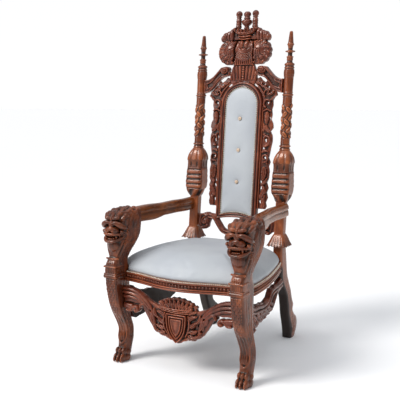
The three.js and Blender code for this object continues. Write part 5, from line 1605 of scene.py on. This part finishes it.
    # crown: three rolls as its band, and staggered leaves rising to a scalloped edge
    for i in range(3):
        z = 0.3075 + 0.0085 * i
        ridge([(-0.066 - 0.003 * i, z + 0.004), (0, z - 0.001), (0.066 + 0.003 * i, z + 0.004)], (0.0042,), (0.0175 + 0.0015 * i,))
    for row, (base, reach, count, high) in enumerate(((0.326, 0.030, 9, 0.0205), (0.338, 0.036, 8, 0.0170))):
        for x in np.linspace(-0.078, 0.078, count):
            leaf([(x * 0.86, base - 0.10 * abs(x)), (x * 1.0, base + reach * 0.5 - 0.14 * abs(x)), (x * 1.14, base + reach - 0.22 * abs(x))],
                 0.0120, high, lobes=3, solid=False)
    for at, radii, turn in [((0.072, 0.212), (0.0050, 0.0036), 0.4), ((0.098, 0.238), (0.0058, 0.0034), 0.9), ((0.118, 0.262), (0.0036, 0.0088), -0.4),
                            ((0.136, 0.236), (0.0036, 0.0070), -0.5), ((0.096, 0.286), (0.0062, 0.0034), 0.5), ((0.112, 0.214), (0.0044, 0.0030), 0.6),
                            ((0.150, 0.296), (0.0040, 0.0078), -0.6)]:
        for side in (1, -1):
            board.hole((side * at[0], at[1]), radii, side * turn)
    board.edge = np.maximum(board.edge, np.abs(u) - frontApron["end"])
    fromBoard("frontApron", "front_apron", board, frontApron["face"], frontApron["back"], carvedWood, bullnose=0.0035, leanBack=False, keep=0.56)
    print("front apron carved")


makeFrontApron()

# side aprons: a long leafy board under each side rail, closing in toward the rear leg

sideApron = {"outer": 0.338, "inner": 0.314, "taper": 0.09, "start": 0.075}


def makeSideAprons():
    board = Board((0.074, 0.204), (0.606, 0.392), 0.0023)
    board.outline([(0.095, 0.215), (0.118, 0.206), (0.146, 0.212), (0.180, 0.214), (0.206, 0.226), (0.236, 0.226), (0.262, 0.238),
                   (0.288, 0.232), (0.318, 0.238), (0.346, 0.234), (0.374, 0.244), (0.402, 0.242), (0.430, 0.254), (0.452, 0.262),
                   (0.466, 0.278), (0.480, 0.290), (0.492, 0.300), (0.522, 0.314), (0.548, 0.324), (0.575, 0.328), (0.6036, 0.330),
                   (0.6036, 0.356), (0.5982, 0.384), (0.560, 0.377), (0.520, 0.371), (0.490, 0.374), (0.453, 0.369), (0.422, 0.370),
                   (0.404, 0.352), (0.388, 0.336), (0.348, 0.326), (0.319, 0.324), (0.290, 0.333), (0.260, 0.333), (0.230, 0.340),
                   (0.204, 0.338), (0.170, 0.346), (0.140, 0.350), (0.118, 0.366), (0.100, 0.381), (0.0757, 0.390), (0.0759, 0.300), (0.084, 0.258)])
    leaf, ridge = board.leaf, board.ridge
    ridge([(0.078, 0.376), (0.110, 0.356), (0.160, 0.332), (0.230, 0.323), (0.310, 0.311), (0.372, 0.318), (0.412, 0.350), (0.470, 0.360),
           (0.540, 0.360), (0.602, 0.367)], (0.0095, 0.0110, 0.0100, 0.0095, 0.0090), (0.0090, 0.0110, 0.0100, 0.0090), count=44)
    ridge([(0.080, 0.338), (0.120, 0.326), (0.180, 0.306), (0.260, 0.296), (0.330, 0.288), (0.392, 0.300), (0.436, 0.330), (0.500, 0.340),
           (0.600, 0.344)], (0.0080, 0.0085, 0.0080), (0.0070, 0.0090, 0.0070), count=44)
    ridge([(0.420, 0.262), (0.452, 0.276), (0.478, 0.302), (0.510, 0.326), (0.570, 0.338)], (0.0100, 0.0110, 0.0075), (0.0090, 0.0110, 0.0060), count=30)
    for line, wide, high, lobes in [
            ([(0.084, 0.300), (0.104, 0.268), (0.132, 0.234)], 0.0200, 0.0120, 5), ([(0.110, 0.306), (0.140, 0.276), (0.178, 0.234)], 0.0200, 0.0130, 5),
            ([(0.150, 0.300), (0.184, 0.278), (0.226, 0.240)], 0.0190, 0.0125, 5), ([(0.200, 0.292), (0.240, 0.276), (0.282, 0.246)], 0.0180, 0.0120, 5),
            ([(0.250, 0.286), (0.290, 0.272), (0.334, 0.246)], 0.0180, 0.0130, 5), ([(0.300, 0.284), (0.346, 0.270), (0.386, 0.250)], 0.0170, 0.0125, 5),
            ([(0.350, 0.286), (0.396, 0.274), (0.432, 0.260)], 0.0150, 0.0130, 4), ([(0.400, 0.300), (0.430, 0.288), (0.466, 0.280)], 0.0120, 0.0115, 4),
            ([(0.110, 0.224), (0.150, 0.220), (0.196, 0.226)], 0.0100, 0.0115, 3)]:
        leaf(line, wide, high, lobes=lobes)
    for at, radii, turn in [((0.232, 0.256), (0.0075, 0.0045), 0.5), ((0.196, 0.262), (0.0040, 0.0065), 0.5), ((0.312, 0.252), (0.0070, 0.0040), -0.4),
                            ((0.412, 0.284), (0.0065, 0.0040), 0.4), ((0.140, 0.258), (0.0040, 0.0075), -0.5)]:
        board.hole(at, radii, turn)
    for name, node, mirror in (("sideApronRight", "side_apron_right", False), ("sideApronLeft", "side_apron_left", True)):
        fromBoard(name, node, board, -sideApron["outer"] + 0.001, -sideApron["inner"], carvedWood, bullnose=0.0035,
                  mirror=mirror, sideways=(sideApron["taper"], sideApron["start"]), keep=0.42)
    print("side aprons carved")


makeSideAprons()


# the place it stands in: a pale floor, a soft window light on the left, a panel overhead, a broad soft sun and a pale
# sky

studio = {
    "lens": 62.96,
    "place": (1.710, -2.750, 1.289),   # depth counted from the toes
    "turn": 29.81,                     # degrees round to the sitter's left
    "dip": 7.68,
    "room": (0.26, 0.80, 1.04),   # light from the sides, from overhead, and as the camera sees it
}


def makeStage():
    scene = bpy.context.scene
    bpy.ops.mesh.primitive_plane_add(size=400, location=(0, 0, -0.0005))
    floor = bpy.context.object
    floor.name = "studioFloor"
    paint = bpy.data.materials.new("paleFloor")
    paint.use_nodes = True
    tree = paint.node_tree
    shader = tree.nodes["Principled BSDF"]
    mottle = put(tree, "ShaderNodeTexNoise", Scale=2.0, Detail=2.0)
    tone = blendColor(tree, mottle.outputs[0], (0.955, 0.955, 0.955, 1), (0.97, 0.97, 0.97, 1))
    tree.links.new(tone, shader.inputs["Base Color"])
    shader.inputs["Roughness"].default_value = 0.9
    floor.data.materials.append(paint)

    camera = bpy.data.objects.new("studioCamera", bpy.data.cameras.new("studioCamera"))
    camera.data.lens, camera.data.sensor_width, camera.data.clip_end = studio["lens"], 36, 900
    x, y, z = studio["place"]
    camera.location = (x, y + toes, z)
    camera.rotation_euler = (math.radians(90 - studio["dip"]), 0, math.radians(studio["turn"]))
    scene.collection.objects.link(camera)
    scene.camera = camera

    for name, place, size, power, color in [
            ("leftWindow", (-2.4, -2.6, 2.3), (1.4, 2.4), 34, (0.95, 0.97, 1.0)),
            ("topPanel", (0.2, -0.6, 3.6), (2.2, 2.2), 22, (0.92, 0.95, 1.0))]:
        light = bpy.data.objects.new(name, bpy.data.lights.new(name, "AREA"))
        light.data.shape, (light.data.size, light.data.size_y) = "RECTANGLE", size
        light.data.energy, light.data.color = power, color
        light.location = place
        aim = np.array((0, 0, 0.9)) - place
        light.rotation_euler = (math.atan2(math.hypot(aim[0], aim[1]), -aim[2]), 0, math.atan2(-aim[0], aim[1]))
        scene.collection.objects.link(light)
    sun = bpy.data.objects.new("softSun", bpy.data.lights.new("softSun", "SUN"))
    sun.data.energy, sun.data.angle, sun.data.color = 2.15, math.radians(22), (1.0, 0.98, 0.96)
    sun.rotation_euler = (math.radians(46), 0, math.radians(-34))
    scene.collection.objects.link(sun)

    # the room is seen white but lights the wood less, so that carving keeps its dark
    world = bpy.data.worlds.new("paleRoom")
    world.use_nodes = True
    tree = world.node_tree
    seen = put(tree, "ShaderNodeLightPath").outputs["Is Camera Ray"]
    upward = put(tree, "ShaderNodeSeparateXYZ", Vector=put(tree, "ShaderNodeTexCoord").outputs["Generated"]).outputs[2]
    glow = put(tree, "ShaderNodeMapRange", Value=upward)
    low, high, whole = studio["room"]
    for label, value in (("From Min", -0.1), ("From Max", 1.0), ("To Min", low), ("To Max", high)):
        glow.inputs[label].default_value = value
    level = put(tree, "ShaderNodeMix", Factor=seen, A=glow.outputs[0], B=whole)
    tint = put(tree, "ShaderNodeMix", {"data_type": "RGBA"}, Factor=upward, i6=(0.97, 0.97, 0.97, 1), i7=(0.90, 0.94, 1.0, 1))
    tree.links.new(tint.outputs[2], tree.nodes["Background"].inputs[0])
    tree.links.new(level.outputs[0], tree.nodes["Background"].inputs[1])
    scene.world = world
    scene.view_settings.view_transform = "Standard"


makeStage()
